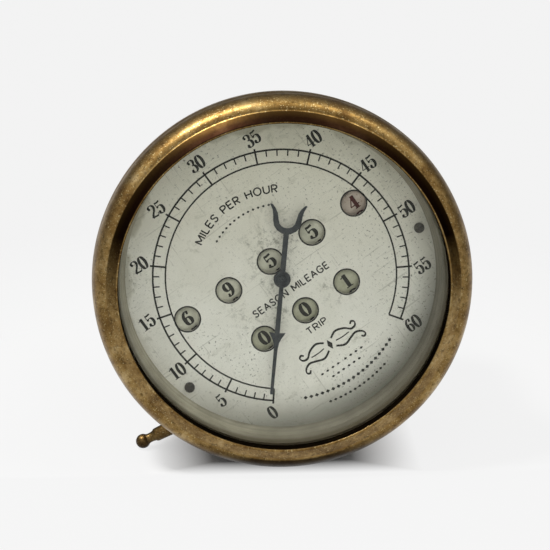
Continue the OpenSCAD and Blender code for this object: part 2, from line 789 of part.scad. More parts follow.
// Three fingers under the trip drums and one arm hooked over the reset rod's cone
module reset_bail() {
  rod_y = ball_at[1] + (hook_x - ball_at[0]) * tan(reset_dir);
  finger = [[-1.2, -0.8], [-1.2, 1.4], [7.8, 9.0], [9.6, 9.0], [9.0, 8.2], [1.2, -0.8]];
  color("silver") face() {
    along_x(0, bail_y, -bail_depth) tube(1.8, 1.0 + run, -bail_x + 1.0, bail_x - 1.0);
    for (x = [-trip_pitch, 0, trip_pitch]) difference() {
      translate([x - 0.8, bail_y, -bail_depth]) rotate([90, 0, 90]) linear_extrude(1.6) polygon(finger);
      along_x(x - 1, bail_y, -bail_depth) rod(1.0 + run, 0, 2);
    }
    difference() {
      translate([hook_x - 0.6, 0, 0]) rotate([90, 0, 90]) linear_extrude(1.2) polygon([
        [bail_y - 1.0, -bail_depth - 1.0], [bail_y - 1.0, -bail_depth + 1.0],
        [rod_y - 0.4, -bail_depth + 5.0], [rod_y + 1.55, ball_at[2] - 0.8],
        [rod_y + 1.55, ball_at[2] + 1.2], [rod_y + 2.7, ball_at[2] + 1.2],
        [rod_y + 2.7, ball_at[2] - 1.2], [bail_y + 1.2, -bail_depth - 1.0]
      ]);
      along_x(hook_x - 1, bail_y, -bail_depth) rod(1.0 + run, 0, 2);
    }
  }
}

// ---------- Nodes ----------

case_shell();
case_back();
case_back_screws();
bezel();
glass();
glass_seal();
spacer_ring();
dial();
dial_posts();
dial_screws();
front_plate();
rear_plate();
pillars();
plate_screws();
movement_screws();
cable_ferrule();
bushes();
pointer_bridge();
hairspring();
hairspring_stud();
drum_shafts();
transfer_shafts();
counter_bracket(-bracket_x - bracket_t);  // counter_bracket_left
counter_bracket(bracket_x);  // counter_bracket_right
reset_bush();
reset_spring();
bail_shaft();
pointer();
pointer_cap();
pointer_arbor();
pointer_rack();
spindle();
speed_cup();
main_shaft();
main_gear();
magnet_shaft();
magnet_wheel();
magnet_ring();
field_ring();
middle_arbor();
middle_wheel();
worm_shaft();
worm_shaft_wheel();
season_drum(1);  // season_drum_1
season_drum(2);  // season_drum_2
season_drum(3);  // season_drum_3
season_drum(4);  // season_drum_4
season_drum(5);  // season_drum_5
trip_drum(1);  // trip_drum_1
trip_drum(2);  // trip_drum_2
trip_drum(3);  // trip_drum_3
season_pinion(1);  // season_pinion_1
season_pinion(2);  // season_pinion_2
season_pinion(3);  // season_pinion_3
season_pinion(4);  // season_pinion_4
trip_pinion(1);  // trip_pinion_1
trip_pinion(2);  // trip_pinion_2
reset_stem();
reset_bail();
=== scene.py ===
import json
import math

import bpy
from mathutils import Matrix, Vector


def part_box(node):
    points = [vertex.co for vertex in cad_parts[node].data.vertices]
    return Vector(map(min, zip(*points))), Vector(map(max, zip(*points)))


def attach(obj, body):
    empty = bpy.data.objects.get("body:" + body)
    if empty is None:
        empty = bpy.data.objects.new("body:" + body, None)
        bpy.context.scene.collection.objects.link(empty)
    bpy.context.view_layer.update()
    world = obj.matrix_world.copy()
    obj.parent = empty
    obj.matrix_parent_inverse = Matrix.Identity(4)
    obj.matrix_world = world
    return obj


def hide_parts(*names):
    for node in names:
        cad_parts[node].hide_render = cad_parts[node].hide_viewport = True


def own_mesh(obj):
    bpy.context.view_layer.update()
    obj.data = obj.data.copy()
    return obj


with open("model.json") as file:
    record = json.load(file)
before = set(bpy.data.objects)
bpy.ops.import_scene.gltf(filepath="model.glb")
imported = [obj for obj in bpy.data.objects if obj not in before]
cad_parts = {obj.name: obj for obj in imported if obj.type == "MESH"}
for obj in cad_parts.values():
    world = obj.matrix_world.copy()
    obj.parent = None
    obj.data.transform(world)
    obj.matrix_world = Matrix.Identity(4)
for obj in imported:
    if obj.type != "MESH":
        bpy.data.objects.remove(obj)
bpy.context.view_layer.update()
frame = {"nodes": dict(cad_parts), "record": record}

MM = 0.001
TO_MM = 1000.0
DIAL_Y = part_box("dial")[0].y
# Face frame in mm: x right, y up, z towards the viewer, z = 0 on the dial's front
FACE = Matrix(((MM, 0, 0, 0), (0, 0, -MM, DIAL_Y), (0, MM, 0, 0), (0, 0, 0, 1)))

scene = bpy.context.scene
scene.view_settings.view_transform = "Standard"


# ---------- Mesh helpers ----------

def add_mesh(name, verts, faces, body, slot, mat, smooth=35, stands_for=()):
    mesh = bpy.data.meshes.new(name)
    mesh.from_pydata(verts, [], faces)
    mesh.validate()
    obj = bpy.data.objects.new(name, mesh)
    return finish_piece(obj, body, slot, mat, smooth, stands_for)


def finish_piece(obj, body, slot, mat, smooth=35, stands_for=()):
    if obj.name not in scene.collection.objects:
        scene.collection.objects.link(obj)
    mesh = obj.data
    if smooth:
        mesh.shade_smooth()
        mesh.set_sharp_from_angle(angle=math.radians(smooth))
    mesh.materials.clear()
    mesh.materials.append(mat)
    if stands_for:
        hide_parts(*stands_for)
    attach(obj, body)
    return obj


def lathe(name, profile, body, slot, mat, steps=192, place=FACE, smooth=35, stands_for=()):
    """Closed profile of (r, z) turned round the local Z axis; points with r = 0 are shared."""
    verts, rows = [], []
    for r, z in profile:
        if r < 1e-6:
            rows.append([len(verts)] * steps)
            verts.append(place @ Vector((0, 0, z)))
        else:
            rows.append([len(verts) + k for k in range(steps)])
            for k in range(steps):
                a = 2 * math.pi * k / steps
                verts.append(place @ Vector((r * math.cos(a), r * math.sin(a), z)))
    faces = []
    for i in range(len(profile)):
        a, b = rows[i], rows[(i + 1) % len(profile)]
        for k in range(steps):
            m = (k + 1) % steps
            face = []
            for v in (a[k], a[m], b[m], b[k]):
                if v not in face:
                    face.append(v)
            if len(face) > 2:
                faces.append(face)
    area = sum(profile[i][0] * profile[(i + 1) % len(profile)][1]
               - profile[(i + 1) % len(profile)][0] * profile[i][1] for i in range(len(profile)))
    if area < 0:
        faces = [f[::-1] for f in faces]
    return add_mesh(name, verts, faces, body, slot, mat, smooth, stands_for)


def arc(cx, cz, rx, rz, a0, a1, n):
    return [(cx + rx * math.cos(math.radians(a0 + (a1 - a0) * i / n)),
             cz + rz * math.sin(math.radians(a0 + (a1 - a0) * i / n))) for i in range(n + 1)]


# ---------- Pen strokes for printed marks ----------

def curve_through(points, closed, per=7):
    """Catmull-Rom points; a straight two-point line is only divided."""
    out, n = [], len(points)
    last = n if closed else n - 1
    for i in range(last):
        p1, p2 = points[i], points[(i + 1) % n]
        p0 = points[i - 1] if (closed or i > 0) else p1
        p3 = points[(i + 2) % n] if (closed or i + 2 < n) else p2
        for k in range(per):
            t = k / per
            out.append(tuple(
                0.5 * (2 * b + (c - a) * t + (2 * a - 5 * b + 4 * c - d) * t * t
                       + (3 * b - a - 3 * c + d) * t ** 3)
                for a, b, c, d in zip(p0, p1, p2, p3)))
    if not closed:
        out.append(tuple(points[-1]))
    return out


class Print:
    """Collects thin raised strokes and makes them one mesh; put(u, v, h) places a point in mm."""

    def __init__(self, put, height=0.03, sink=0.02):
        self.put, self.height, self.sink = put, height, sink
        self.verts, self.faces = [], []

    def strip(self, left, right, closed=False, put=None):
        """A solid band between two rows of points, from sink below the surface to height above."""
        put = put or self.put
        base, n = len(self.verts), len(left)
        for (lu, lv), (ru, rv) in zip(left, right):
            self.verts += [put(lu, lv, self.height), put(ru, rv, self.height),
                           put(lu, lv, -self.sink), put(ru, rv, -self.sink)]
        for i in range(n if closed else n - 1):
            a, b = base + 4 * i, base + 4 * ((i + 1) % n)
            self.faces += [(a, a + 1, b + 1, b), (a + 2, b + 2, b + 3, a + 3),
                           (a, b, b + 2, a + 2), (a + 1, a + 3, b + 3, b + 1)]
        if not closed:
            e = base + 4 * (n - 1)
            self.faces += [(base, base + 2, base + 3, base + 1), (e, e + 1, e + 3, e + 2)]

    def pen(self, points, wide, thin, closed=False, per=7, put=None):
        """A stroke of an elliptic pen, so upright parts come out wide and level parts thin."""
        pts = curve_through(points, closed, per)
        n, left, right = len(pts), [], []
        for i, (x, y) in enumerate(pts):
            if closed:
                ax, ay, bx, by = *pts[i - 1], *pts[(i + 1) % n]
            else:
                ax, ay, bx, by = *pts[max(i - 1, 0)], *pts[min(i + 1, n - 1)]
            dx, dy = bx - ax, by - ay
            d = math.hypot(dx, dy) or 1
            nx, ny = -dy / d, dx / d
            h = math.hypot(wide * nx, thin * ny)
            left.append((x + nx * h, y + ny * h))
            right.append((x - nx * h, y - ny * h))
        self.strip(left, right, closed, put)

    def ring(self, x, y, r, w, a0=0.0, a1=360.0):
        """A line of width w round (x, y), between two angles in degrees."""
        n = max(6, int(abs(a1 - a0) / 4))
        closed = abs(a1 - a0) > 359
        angles = [math.radians(a0 + (a1 - a0) * i / n) for i in range(n if closed else n + 1)]
        self.strip([(x + (r - w / 2) * math.cos(a), y + (r - w / 2) * math.sin(a)) for a in angles],
                   [(x + (r + w / 2) * math.cos(a), y + (r + w / 2) * math.sin(a)) for a in angles],
                   closed)

    def dot(self, x, y, r, put=None):
        """A filled circle, built as one strip whose two ends keep a hair of width."""
        hair = 0.001 * r
        turns = [math.pi * (1 - i / 8) for i in range(9)]
        self.strip([(x + r * math.cos(a), y + r * math.sin(a) + hair) for a in turns],
                   [(x + r * math.cos(a), y - r * math.sin(a) - hair) for a in turns], False, put)

    def line(self, x0, y0, x1, y1, w):
        dx, dy = x1 - x0, y1 - y0
        d = math.hypot(dx, dy)
        nx, ny = -dy / d * w / 2, dx / d * w / 2
        ts = [i / 4 for i in range(5)]
        self.strip([(x0 + dx * t + nx, y0 + dy * t + ny) for t in ts],
                   [(x0 + dx * t - nx, y0 + dy * t - ny) for t in ts])

    def make(self, name, body, slot, mat):
        return add_mesh(name, self.verts, self.faces, body, slot, mat, 0)


def oval(cy, rx, ry, n=12):
    return [(rx * math.cos(2 * math.pi * i / n), cy + ry * math.sin(2 * math.pi * i / n)) for i in range(n)]


# Figures with wide upright and thin level strokes, on a unit height: (kind, points, pen half width,
# pen half height), where a dot has one point and its radius
WIDE, THIN, SLAB, FINE = 0.105, 0.026, 0.06, 0.03
FIGURES = {
    0: [("loop", oval(0.5, 0.205, 0.475), WIDE, THIN)],
    1: [("pen", [(0.02, 0.03), (0.02, 0.97)], WIDE, THIN),
        ("pen", [(-0.2, 0.025), (0.24, 0.025)], FINE, THIN),
        ("pen", [(-0.22, 0.8), (-0.1, 0.86), (-0.03, 0.96)], FINE, FINE)],
    2: [("dot", (-0.17, 0.76), 0.095, 0),
        ("pen", [(-0.235, 0.78), (-0.15, 0.92), (0, 0.972), (0.15, 0.88), (0.18, 0.7), (0.08, 0.5),
                 (-0.1, 0.3), (-0.24, 0.08)], 0.09, 0.028),
        ("pen", [(-0.25, 0.07), (-0.1, 0.1), (0.08, 0.07), (0.2, 0.08)], FINE, SLAB),
        ("pen", [(0.2, 0.06), (0.25, 0.14), (0.265, 0.26)], FINE, FINE)],
    3: [("dot", (-0.165, 0.79), 0.09, 0),
        ("dot", (-0.175, 0.21), 0.095, 0),
        ("pen", [(-0.23, 0.81), (-0.14, 0.93), (0.0, 0.972), (0.135, 0.88), (0.15, 0.74), (0.08, 0.59),
                 (-0.06, 0.54)], 0.09, THIN),
        ("pen", [(-0.06, 0.54), (0.1, 0.5), (0.18, 0.36), (0.17, 0.16), (0.02, 0.028), (-0.14, 0.07),
                 (-0.245, 0.19)], 0.1, THIN)],
    4: [("pen", [(0.07, 0.95), (-0.27, 0.29)], FINE, FINE),
        ("pen", [(-0.28, 0.28), (0.28, 0.28)], FINE, FINE),
        ("pen", [(0.08, 0.03), (0.08, 0.97)], 0.1, THIN),
        ("pen", [(-0.08, 0.025), (0.24, 0.025)], FINE, THIN)],
    5: [("pen", [(-0.2, 0.95), (-0.2, 0.5)], 0.025, 0.02),
        ("pen", [(-0.2, 0.91), (-0.05, 0.88), (0.18, 0.93)], FINE, SLAB),
        ("pen", [(-0.2, 0.52), (-0.1, 0.6), (0.05, 0.62), (0.17, 0.5), (0.175, 0.22), (0.03, 0.028),
                 (-0.13, 0.07), (-0.24, 0.19)], 0.1, THIN),
        ("dot", (-0.17, 0.21), 0.095, 0)],
    6: [("loop", oval(0.3, 0.175, 0.275), 0.095, THIN),
        ("pen", [(-0.18, 0.3), (-0.19, 0.5), (-0.15, 0.75), (-0.03, 0.93), (0.09, 0.972), (0.2, 0.87)],
         0.09, 0.028),
        ("dot", (0.135, 0.82), 0.085, 0)],
    7: [("pen", [(-0.22, 0.9), (-0.05, 0.93), (0.1, 0.9), (0.22, 0.93)], FINE, SLAB),
        ("pen", [(-0.22, 0.93), (-0.25, 0.72)], FINE, FINE),
        ("pen", [(0.235, 0.93), (0.06, 0.6), (-0.04, 0.4)], 0.05, FINE),
        ("pen", [(0.0, 0.45), (-0.06, 0.25), (-0.05, 0.03)], 0.1, THIN)],
    8: [("loop", oval(0.75, 0.145, 0.22), 0.085, THIN),
        ("loop", oval(0.275, 0.175, 0.25), 0.095, THIN)],
}
# A nine is a six turned half round
FIGURES[9] = [(k, (-p[0], 1 - p[1]) if k == "dot" else [(-x, 1 - y) for x, y in p], a, b)
              for k, p, a, b in FIGURES[6]]


def figure(ink, digit, x, y, size, put=None, broad=1.0, heavy=1.0):
    """One figure of the given height, centred on (x, y); broad widens it and heavy widens its pen."""
    def move(p):
        return (x + p[0] * size * broad, y + (p[1] - 0.5) * size)

    for kind, pts, a, b in FIGURES[digit]:
        if kind == "dot":
            ink.dot(*move(pts), a * size, put)
        else:
            ink.pen([move(p) for p in pts], a * size * heavy, b * size * heavy, kind == "loop", 5, put)


# ---------- Materials ----------

class Nodes:
    """A material or world under construction, with short calls for its nodes."""

    def __init__(self, name, world=False):
        self.mat = (bpy.data.worlds if world else bpy.data.materials).new(name)
        self.mat.use_nodes = True
        self.tree = self.mat.node_tree
        self.tree.nodes.clear()
        self.out = self.add("ShaderNodeOutputWorld" if world else "ShaderNodeOutputMaterial")
        self.coord = self.add("ShaderNodeTexCoord").outputs["Generated" if world else "Object"]

    def add(self, kind, **props):
        node = self.tree.nodes.new(kind)
        for k, v in props.items():
            setattr(node, k, v)
        return node

    def link(self, a, b):
        self.tree.links.new(a, b)

    def noise(self, scale, detail=4.0, rough=0.55, stretch=None, distortion=0.0):
        node = self.add("ShaderNodeTexNoise")
        node.inputs["Scale"].default_value = scale
        node.inputs["Detail"].default_value = detail
        node.inputs["Roughness"].default_value = rough
        node.inputs["Distortion"].default_value = distortion
        vec = self.coord
        if stretch:
            mapping = self.add("ShaderNodeMapping")
            mapping.inputs["Scale"].default_value = stretch
            self.link(vec, mapping.inputs["Vector"])
            vec = mapping.outputs["Vector"]
        self.link(vec, node.inputs["Vector"])
        return node.outputs["Fac"]

    def ramp(self, fac, stops):
        node = self.add("ShaderNodeValToRGB")
        els = node.color_ramp.elements
        while len(els) < len(stops):
            els.new(0.5)
        for el, (pos, col) in zip(els, stops):
            el.position = pos
            el.color = (*col, 1)
        self.link(fac, node.inputs["Fac"])
        return node.outputs["Color"]

    def mix(self, fac, a, b, blend="MIX"):
        node = self.add("ShaderNodeMix", data_type="RGBA", blend_type=blend)
        for value, socket in ((fac, node.inputs["Factor"]), (a, node.inputs["A"]), (b, node.inputs["B"])):
            if hasattr(value, "is_linked"):
                self.link(value, socket)
            elif isinstance(value, (int, float)):
                socket.default_value = value
            else:
                socket.default_value = (*value, 1)
        return node.outputs["Result"]

    def math(self, op, a, b=0.0):
        node = self.add("ShaderNodeMath", operation=op)
        for value, socket in zip((a, b), node.inputs):
            if hasattr(value, "is_linked"):
                self.link(value, socket)
            else:
                socket.default_value = value
        return node.outputs[0]

    def spread(self, fac, lo, hi, out_lo, out_hi):
        node = self.add("ShaderNodeMapRange")
        for socket, value in zip(("From Min", "From Max", "To Min", "To Max"), (lo, hi, out_lo, out_hi)):
            node.inputs[socket].default_value = value
        self.link(fac, node.inputs["Value"])
        return node.outputs["Result"]

    def radius(self):
        """Distance from the dial's axis in mm, and the node with the place's coordinates in m."""
        sep = self.add("ShaderNodeSeparateXYZ")
        self.link(self.coord, sep.inputs[0])
        return self.math("MULTIPLY", self.length(sep.outputs["X"], sep.outputs["Z"]), TO_MM), sep

    def length(self, a, b):
        return self.math("SQRT", self.math("ADD", self.math("MULTIPLY", a, a), self.math("MULTIPLY", b, b)))

    def bsdf(self, color, rough, metallic, bump=None, bump_depth=0.0, tint=None, mirror_level=None):
        node = self.add("ShaderNodeBsdfPrincipled")
        self.link(color, node.inputs["Base Color"])
        self.link(rough, node.inputs["Roughness"])
        node.inputs["Metallic"].default_value = metallic
        if mirror_level is not None:
            node.inputs["Specular IOR Level"].default_value = mirror_level
        if tint is not None:
            self.link(tint, node.inputs["Specular Tint"])
        if bump is not None:
            b = self.add("ShaderNodeBump")
            b.inputs["Distance"].default_value = bump_depth
            self.link(bump, b.inputs["Height"])
            self.link(b.outputs["Normal"], node.inputs["Normal"])
        self.link(node.outputs["BSDF"], self.out.inputs["Surface"])
        return self.mat


GRAIN_SIZE, GRAIN_DEPTH = 1500, 0.00002


def worn(name, colors, scale, rough, metallic=1.0, speck=None, mirror_level=None):
    """Blotchy finish: colours over a cloud, patches of darker specks, uneven gloss and a fine grain."""
    n = Nodes(name)
    cloud = n.noise(scale, 6.0, 0.6)
    k = len(colors) - 1
    color = n.ramp(cloud, [(0.3 + 0.4 * i / k, c) for i, c in enumerate(colors)])
    fine = n.noise(GRAIN_SIZE, 3.0, 0.6)
    if speck:
        tone, size, at = speck
        dots = n.spread(n.noise(size, 3.0, 0.6), at, at + 0.1, 0.0, 0.85)
        patches = n.spread(n.noise(scale * 0.8, 3.0, 0.5), 0.42, 0.62, 0.25, 1.0)
        color = n.mix(n.math("MULTIPLY", dots, patches), color, tone)
    uneven = n.math("ADD", n.math("MULTIPLY", cloud, 0.6), n.math("MULTIPLY", fine, 0.4))
    gloss = n.spread(uneven, 0.3, 0.7, rough[0], rough[1])
    return n.bsdf(color, gloss, metallic, fine, GRAIN_DEPTH, mirror_level=mirror_level)


def toward(n, sep, angle, lo, hi):
    """0 to 1 as the distance in mm along that direction of the face, counted from +X, goes from lo to hi."""
    c, s = math.cos(math.radians(angle)), math.sin(math.radians(angle))
    dot = n.math("ADD", n.math("MULTIPLY", sep.outputs["X"], c), n.math("MULTIPLY", sep.outputs["Z"], s))
    return n.spread(n.math("MULTIPLY", dot, TO_MM), lo, hi, 0.0, 1.0)


# Directions on the face in degrees from +X: painted shade darkens the upper right, and the lower left lies on
# the table
UPPER_RIGHT, LOWER_LEFT = 55, -122


def make_bezel_brass():
    """Old brass: tarnished band, with painted shade: darker towards the upper right, a near-black upper slope
    towards the glass, a near-black underside by the table and a dark inside.
    """
    n = Nodes("bezel_brass")
    r, sep = n.radius()
    cloud = n.noise(140, 7.0, 0.65)
    streak = n.noise(900, 4.0, 0.7)
    color = n.ramp(cloud, [(0.3, (0.08, 0.042, 0.013)), (0.45, (0.18, 0.107, 0.034)),
                           (0.58, (0.28, 0.182, 0.066)), (0.72, (0.44, 0.325, 0.16))])
    color = n.mix(n.spread(streak, 0.5, 0.68, 0.0, 0.7), color, (0.04, 0.022, 0.007))
    # Painted shade: the bezel is darker towards the upper right
    color = n.mix(toward(n, sep, UPPER_RIGHT, 28.0, 50.0), color, (0.62, 0.6, 0.52), "MULTIPLY")
    color = n.mix(n.spread(n.noise(2600, 2.0, 0.5), 0.62, 0.68, 0.0, 0.7), color, (0.5, 0.4, 0.2))

    # Painted shade: the slope from the ridge down to the opening is near-black on the upper right side
    slope_shade_mask = n.math("MULTIPLY", n.spread(r, 43.95, 44.15, 0.0, 1.0), n.spread(r, 46.6, 46.85, 1.0, 0.0))
    slope_shade_mask = n.math("MULTIPLY", slope_shade_mask, toward(n, sep, UPPER_RIGHT, -8.0, 14.0))
    slope = n.ramp(n.spread(r, 44.0, 46.7, 0.0, 1.0),
                   [(0.0, (0.0035, 0.001, 0.0008)), (0.45, (0.005, 0.002, 0.001)),
                    (1.0, (0.017, 0.009, 0.0025))])
    color = n.mix(n.math("MULTIPLY", slope_shade_mask, 0.99), color, slope)

    # Painted shadow: the band's underside towards the table is near-black
    under = n.math("MULTIPLY", n.spread(r, 47.0, 47.6, 0.0, 1.0), toward(n, sep, LOWER_LEFT, 40.0, 47.0))
    color = n.mix(n.math("MULTIPLY", under, 0.9), color, (0.006, 0.004, 0.003))
    # Painted shade: the inner wall of the opening is dark
    inside = n.spread(r, 43.62, 43.85, 0.97, 0.0)
    color = n.mix(inside, color, (0.012, 0.008, 0.004))

    # The painted shade on the slope and the inner wall also darkens their reflections
    tint = n.mix(n.math("MAXIMUM", slope_shade_mask, inside), (1.0, 1.0, 1.0), (0.03, 0.015, 0.01))
    gloss = n.spread(cloud, 0.3, 0.7, 0.48, 0.3)
    return n.bsdf(color, gloss, 1.0, streak, 0.00004, tint)


def make_dial_silver():
    """Silvered plate gone grey: stains, freckles, scuffs and scratches, darker towards the upper right partly
    from tarnish and partly as painted shade, and painted shade along the top, lower and right edges.
    """
    n = Nodes("dial_silver")
    r, sep = n.radius()
    cloud = n.noise(45, 6.0, 0.6)
    color = n.ramp(cloud, [(0.3, (0.88, 0.85, 0.79)), (0.5, (0.94, 0.91, 0.86)), (0.7, (0.98, 0.955, 0.915))])
    # Darker towards the upper right, partly tarnish and partly painted shade
    tarnish_and_shade = n.ramp(toward(n, sep, UPPER_RIGHT, -42.0, 42.0),
                  [(0.4, (1, 1, 1)), (0.7, (0.9, 0.885, 0.84)), (0.95, (0.88, 0.865, 0.79))])
    color = n.mix(1.0, color, tarnish_and_shade, "MULTIPLY")
    stain = n.noise(210, 5.0, 0.7, distortion=0.6)
    color = n.mix(n.spread(stain, 0.60, 0.72, 0.0, 0.4), color, (0.36, 0.35, 0.27))

    freckle = n.noise(1500, 3.0, 0.55)
    patch = n.math("MAXIMUM", n.spread(cloud, 0.46, 0.6, 0.25, 1.0), toward(n, sep, -5, 12.0, 26.0))
    dots = n.math("MULTIPLY", n.spread(freckle, 0.6, 0.66, 0.0, 0.75), patch)
    color = n.mix(dots, color, (0.16, 0.15, 0.12))

    middle = n.math("MULTIPLY", n.spread(r, 8.0, 22.0, 1.0, 0.1),
                    n.spread(n.noise(70, 3.0, 0.5), 0.47, 0.58, 0.0, 1.0))
    scuff = n.math("MULTIPLY", n.spread(n.noise(520, 6.0, 0.8), 0.5, 0.62, 0.0, 0.85), middle)
    color = n.mix(scuff, color, (0.24, 0.235, 0.19))

    # Painted shadow of the bezel: a ragged dark band along the upper edge
    top_edge_shade = n.math("ADD", r, n.spread(n.noise(55, 4.0, 0.6), 0.3, 0.7, -3.0, 3.0))
    top_edge_shade = n.math("MULTIPLY", n.spread(top_edge_shade, 40.4, 41.4, 0.0, 1.0), toward(n, sep, 95, -5.0, 30.0))
    color = n.mix(n.math("MULTIPLY", top_edge_shade, 0.5), color, (0.3, 0.27, 0.17))
    for stretch, lo in (((60, 60, 2200), 0.68), ((1900, 60, 90), 0.69)):
        scratch = n.noise(1.0, 2.0, 0.5, stretch)
        color = n.mix(n.spread(scratch, lo, lo + 0.03, 0.0, 0.35), color, (0.3, 0.29, 0.24))

    # Painted shade along the lower edge
    edge = n.math("MULTIPLY", n.spread(r, 31.0, 42.5, 0.0, 1.0), toward(n, sep, -100, 14.0, 38.0))
    color = n.mix(n.math("MULTIPLY", edge, 0.8), color, (0.12, 0.115, 0.08))
    # Painted shade along the right edge
    rim = n.math("MULTIPLY", n.spread(r, 36.0, 42.5, 0.0, 0.62), toward(n, sep, -60, 20.0, 42.0))
    color = n.mix(rim, color, (0.14, 0.135, 0.1))
    # Painted shade, patchy, near the right edge
    patchy_right_shade = n.math("MULTIPLY", n.spread(n.noise(95, 4.0, 0.6), 0.42, 0.62, 0.2, 1.0),
                   toward(n, sep, -12, 32.0, 42.0))
    color = n.mix(n.math("MULTIPLY", patchy_right_shade, 0.2), color, (0.16, 0.15, 0.11))
    gloss = n.spread(stain, 0.35, 0.65, 0.34, 0.5)
    return n.bsdf(color, gloss, 0.35, freckle, 0.000008)


def make_ring():
    """Turned wall between dial and glass, with fine lines round it, painted shade towards the lower side and
    a painted dark shadow near the glass.
    """
    n = Nodes("ring")
    r, sep = n.radius()
    color = n.ramp(n.noise(160, 5.0, 0.6), [(0.3, (0.3, 0.27, 0.2)), (0.7, (0.5, 0.46, 0.36))])
    turned = n.add("ShaderNodeTexNoise", noise_dimensions="1D")
    turned.inputs["Scale"].default_value = 2.6
    n.link(r, turned.inputs["W"])
    color = n.mix(n.spread(turned.outputs["Fac"], 0.4, 0.62, 0.0, 0.45), color, (0.2, 0.18, 0.13))
    # Painted shade towards the lower side
    color = n.mix(n.math("MULTIPLY", toward(n, sep, -80, 5.0, 40.0), 0.72), color, (0.07, 0.06, 0.045))
    # Painted shadow near the glass, under the bezel's lip
    color = n.mix(n.spread(r, 43.0, 43.75, 0.0, 0.9), color, (0.06, 0.045, 0.025))
    return n.bsdf(color, n.spread(turned.outputs["Fac"], 0.3, 0.7, 0.35, 0.5), 0.3)


MIRROR_SHARE = 0.45


def make_glass():
    """Clear pane: see-through, with a mirror part that grows towards grazing angles."""
    n = Nodes("glass")
    fres = n.add("ShaderNodeFresnel")
    fres.inputs["IOR"].default_value = 1.5
    clear = n.add("ShaderNodeBsdfTransparent")
    haze = n.noise(120, 5.0, 0.6)
    n.link(n.ramp(haze, [(0.3, (0.955, 0.965, 0.945)), (0.7, (0.93, 0.94, 0.915))]), clear.inputs["Color"])
    gloss = n.add("ShaderNodeBsdfGlossy")
    n.link(n.spread(haze, 0.3, 0.7, 0.02, 0.07), gloss.inputs["Roughness"])
    mix = n.add("ShaderNodeMixShader")
    n.link(n.math("MULTIPLY", fres.outputs[0], MIRROR_SHARE), mix.inputs["Fac"])
    n.link(clear.outputs[0], mix.inputs[1])
    n.link(gloss.outputs[0], mix.inputs[2])
    n.link(mix.outputs[0], n.out.inputs["Surface"])
    return n.mat


FINISHES = {
    "case_brass": dict(
        colors=[(0.13, 0.07, 0.03), (0.3, 0.18, 0.07), (0.42, 0.28, 0.12)],
        scale=90, rough=(0.34, 0.55), speck=((0.06, 0.035, 0.02), 900, 0.6)),
    "plate_brass": dict(
        colors=[(0.5, 0.34, 0.13), (0.66, 0.48, 0.2), (0.75, 0.58, 0.3)],
        scale=200, rough=(0.3, 0.45), speck=((0.2, 0.12, 0.05), 1500, 0.66)),
    "seal": dict(
        colors=[(0.012, 0.01, 0.008), (0.03, 0.024, 0.018)], scale=400, rough=(0.7, 0.9), metallic=0.0),
    "blued_steel": dict(
        colors=[(0.03, 0.032, 0.036), (0.055, 0.06, 0.066), (0.085, 0.085, 0.085)],
        scale=500, rough=(0.28, 0.45), metallic=0.8, speck=((0.12, 0.1, 0.08), 2500, 0.68)),
    "screw_steel": dict(
        colors=[(0.06, 0.055, 0.045), (0.14, 0.13, 0.115)], scale=900, rough=(0.35, 0.6), metallic=0.9),
    "bright_steel": dict(
        colors=[(0.42, 0.42, 0.41), (0.6, 0.6, 0.59)], scale=700, rough=(0.25, 0.4)),
    "bronze": dict(
        colors=[(0.35, 0.2, 0.1), (0.55, 0.35, 0.18)], scale=500, rough=(0.3, 0.5)),
    "drum_white": dict(
        colors=[(0.50, 0.48, 0.39), (0.62, 0.60, 0.50), (0.72, 0.70, 0.6)],
        scale=450, rough=(0.4, 0.6), metallic=0.1, speck=((0.16, 0.14, 0.1), 2200, 0.66)),
    "drum_pink": dict(
        colors=[(0.42, 0.33, 0.27), (0.54, 0.45, 0.39), (0.64, 0.55, 0.48)],
        scale=450, rough=(0.4, 0.6), metallic=0.1, speck=((0.16, 0.1, 0.08), 2200, 0.64)),
    "drum_yellow": dict(
        colors=[(0.38, 0.375, 0.27), (0.49, 0.48, 0.36), (0.59, 0.575, 0.45)],
        scale=450, rough=(0.4, 0.6), metallic=0.1, speck=((0.12, 0.1, 0.06), 2200, 0.64)),
    "cup_aluminium": dict(
        colors=[(0.68, 0.68, 0.69), (0.8, 0.8, 0.81)], scale=600, rough=(0.25, 0.4)),
    "magnet_steel": dict(
        colors=[(0.1, 0.1, 0.105), (0.2, 0.2, 0.21)], scale=700, rough=(0.4, 0.6), metallic=0.8),
    "spring_steel": dict(
        colors=[(0.06, 0.09, 0.2), (0.16, 0.22, 0.36)], scale=900, rough=(0.2, 0.35)),
}
MATS = {slot: worn(slot, **finish) for slot, finish in FINISHES.items()}
MATS["bezel_brass"] = make_bezel_brass()
MATS["dial_silver"] = make_dial_silver()
MATS["glass"] = make_glass()
MATS["ring"] = make_ring()


def ink_mat(name, colors, rough):
    return worn(name, colors, 900, rough, 0.0, mirror_level=0.15)


INK = ink_mat("dial_ink", [(0.014, 0.014, 0.012), (0.03, 0.029, 0.025), (0.06, 0.058, 0.05)], (0.4, 0.6))
DRUM_INK = ink_mat("drum_ink", [(0.018, 0.018, 0.015), (0.035, 0.032, 0.026)], (0.45, 0.6))
RED_INK = ink_mat("drum_ink_red", [(0.05, 0.007, 0.006), (0.1, 0.018, 0.014)], (0.45, 0.6))

slot_of = {s["node"]: s["material_slot"] for s in frame["record"]["subparts"]}
for node_name, node_obj in frame["nodes"].items():
    node_obj.data.materials.clear()
    node_obj.data.materials.append(MATS[slot_of[node_name]])

# ---------- Turned pieces, with profiles of (r, z) in mm ----------

OPENING_R, BEZEL_R = 43.6, 50.8
LIP_Z, BAND_Z = 16.5, 8.0
RIDGE_R, RIDGE_Z = 46.85, 14.2
SEAT_R, SEAT_IN = 46.8, 45.8
GLASS_Z, GLASS_T = 9.6, 2.6
GLASS_TOP = GLASS_Z + GLASS_T
GLASS_R = SEAT_R - 0.25
SEAL_TOP = GLASS_TOP + 0.3
DIAL_EDGE_R = 42.1

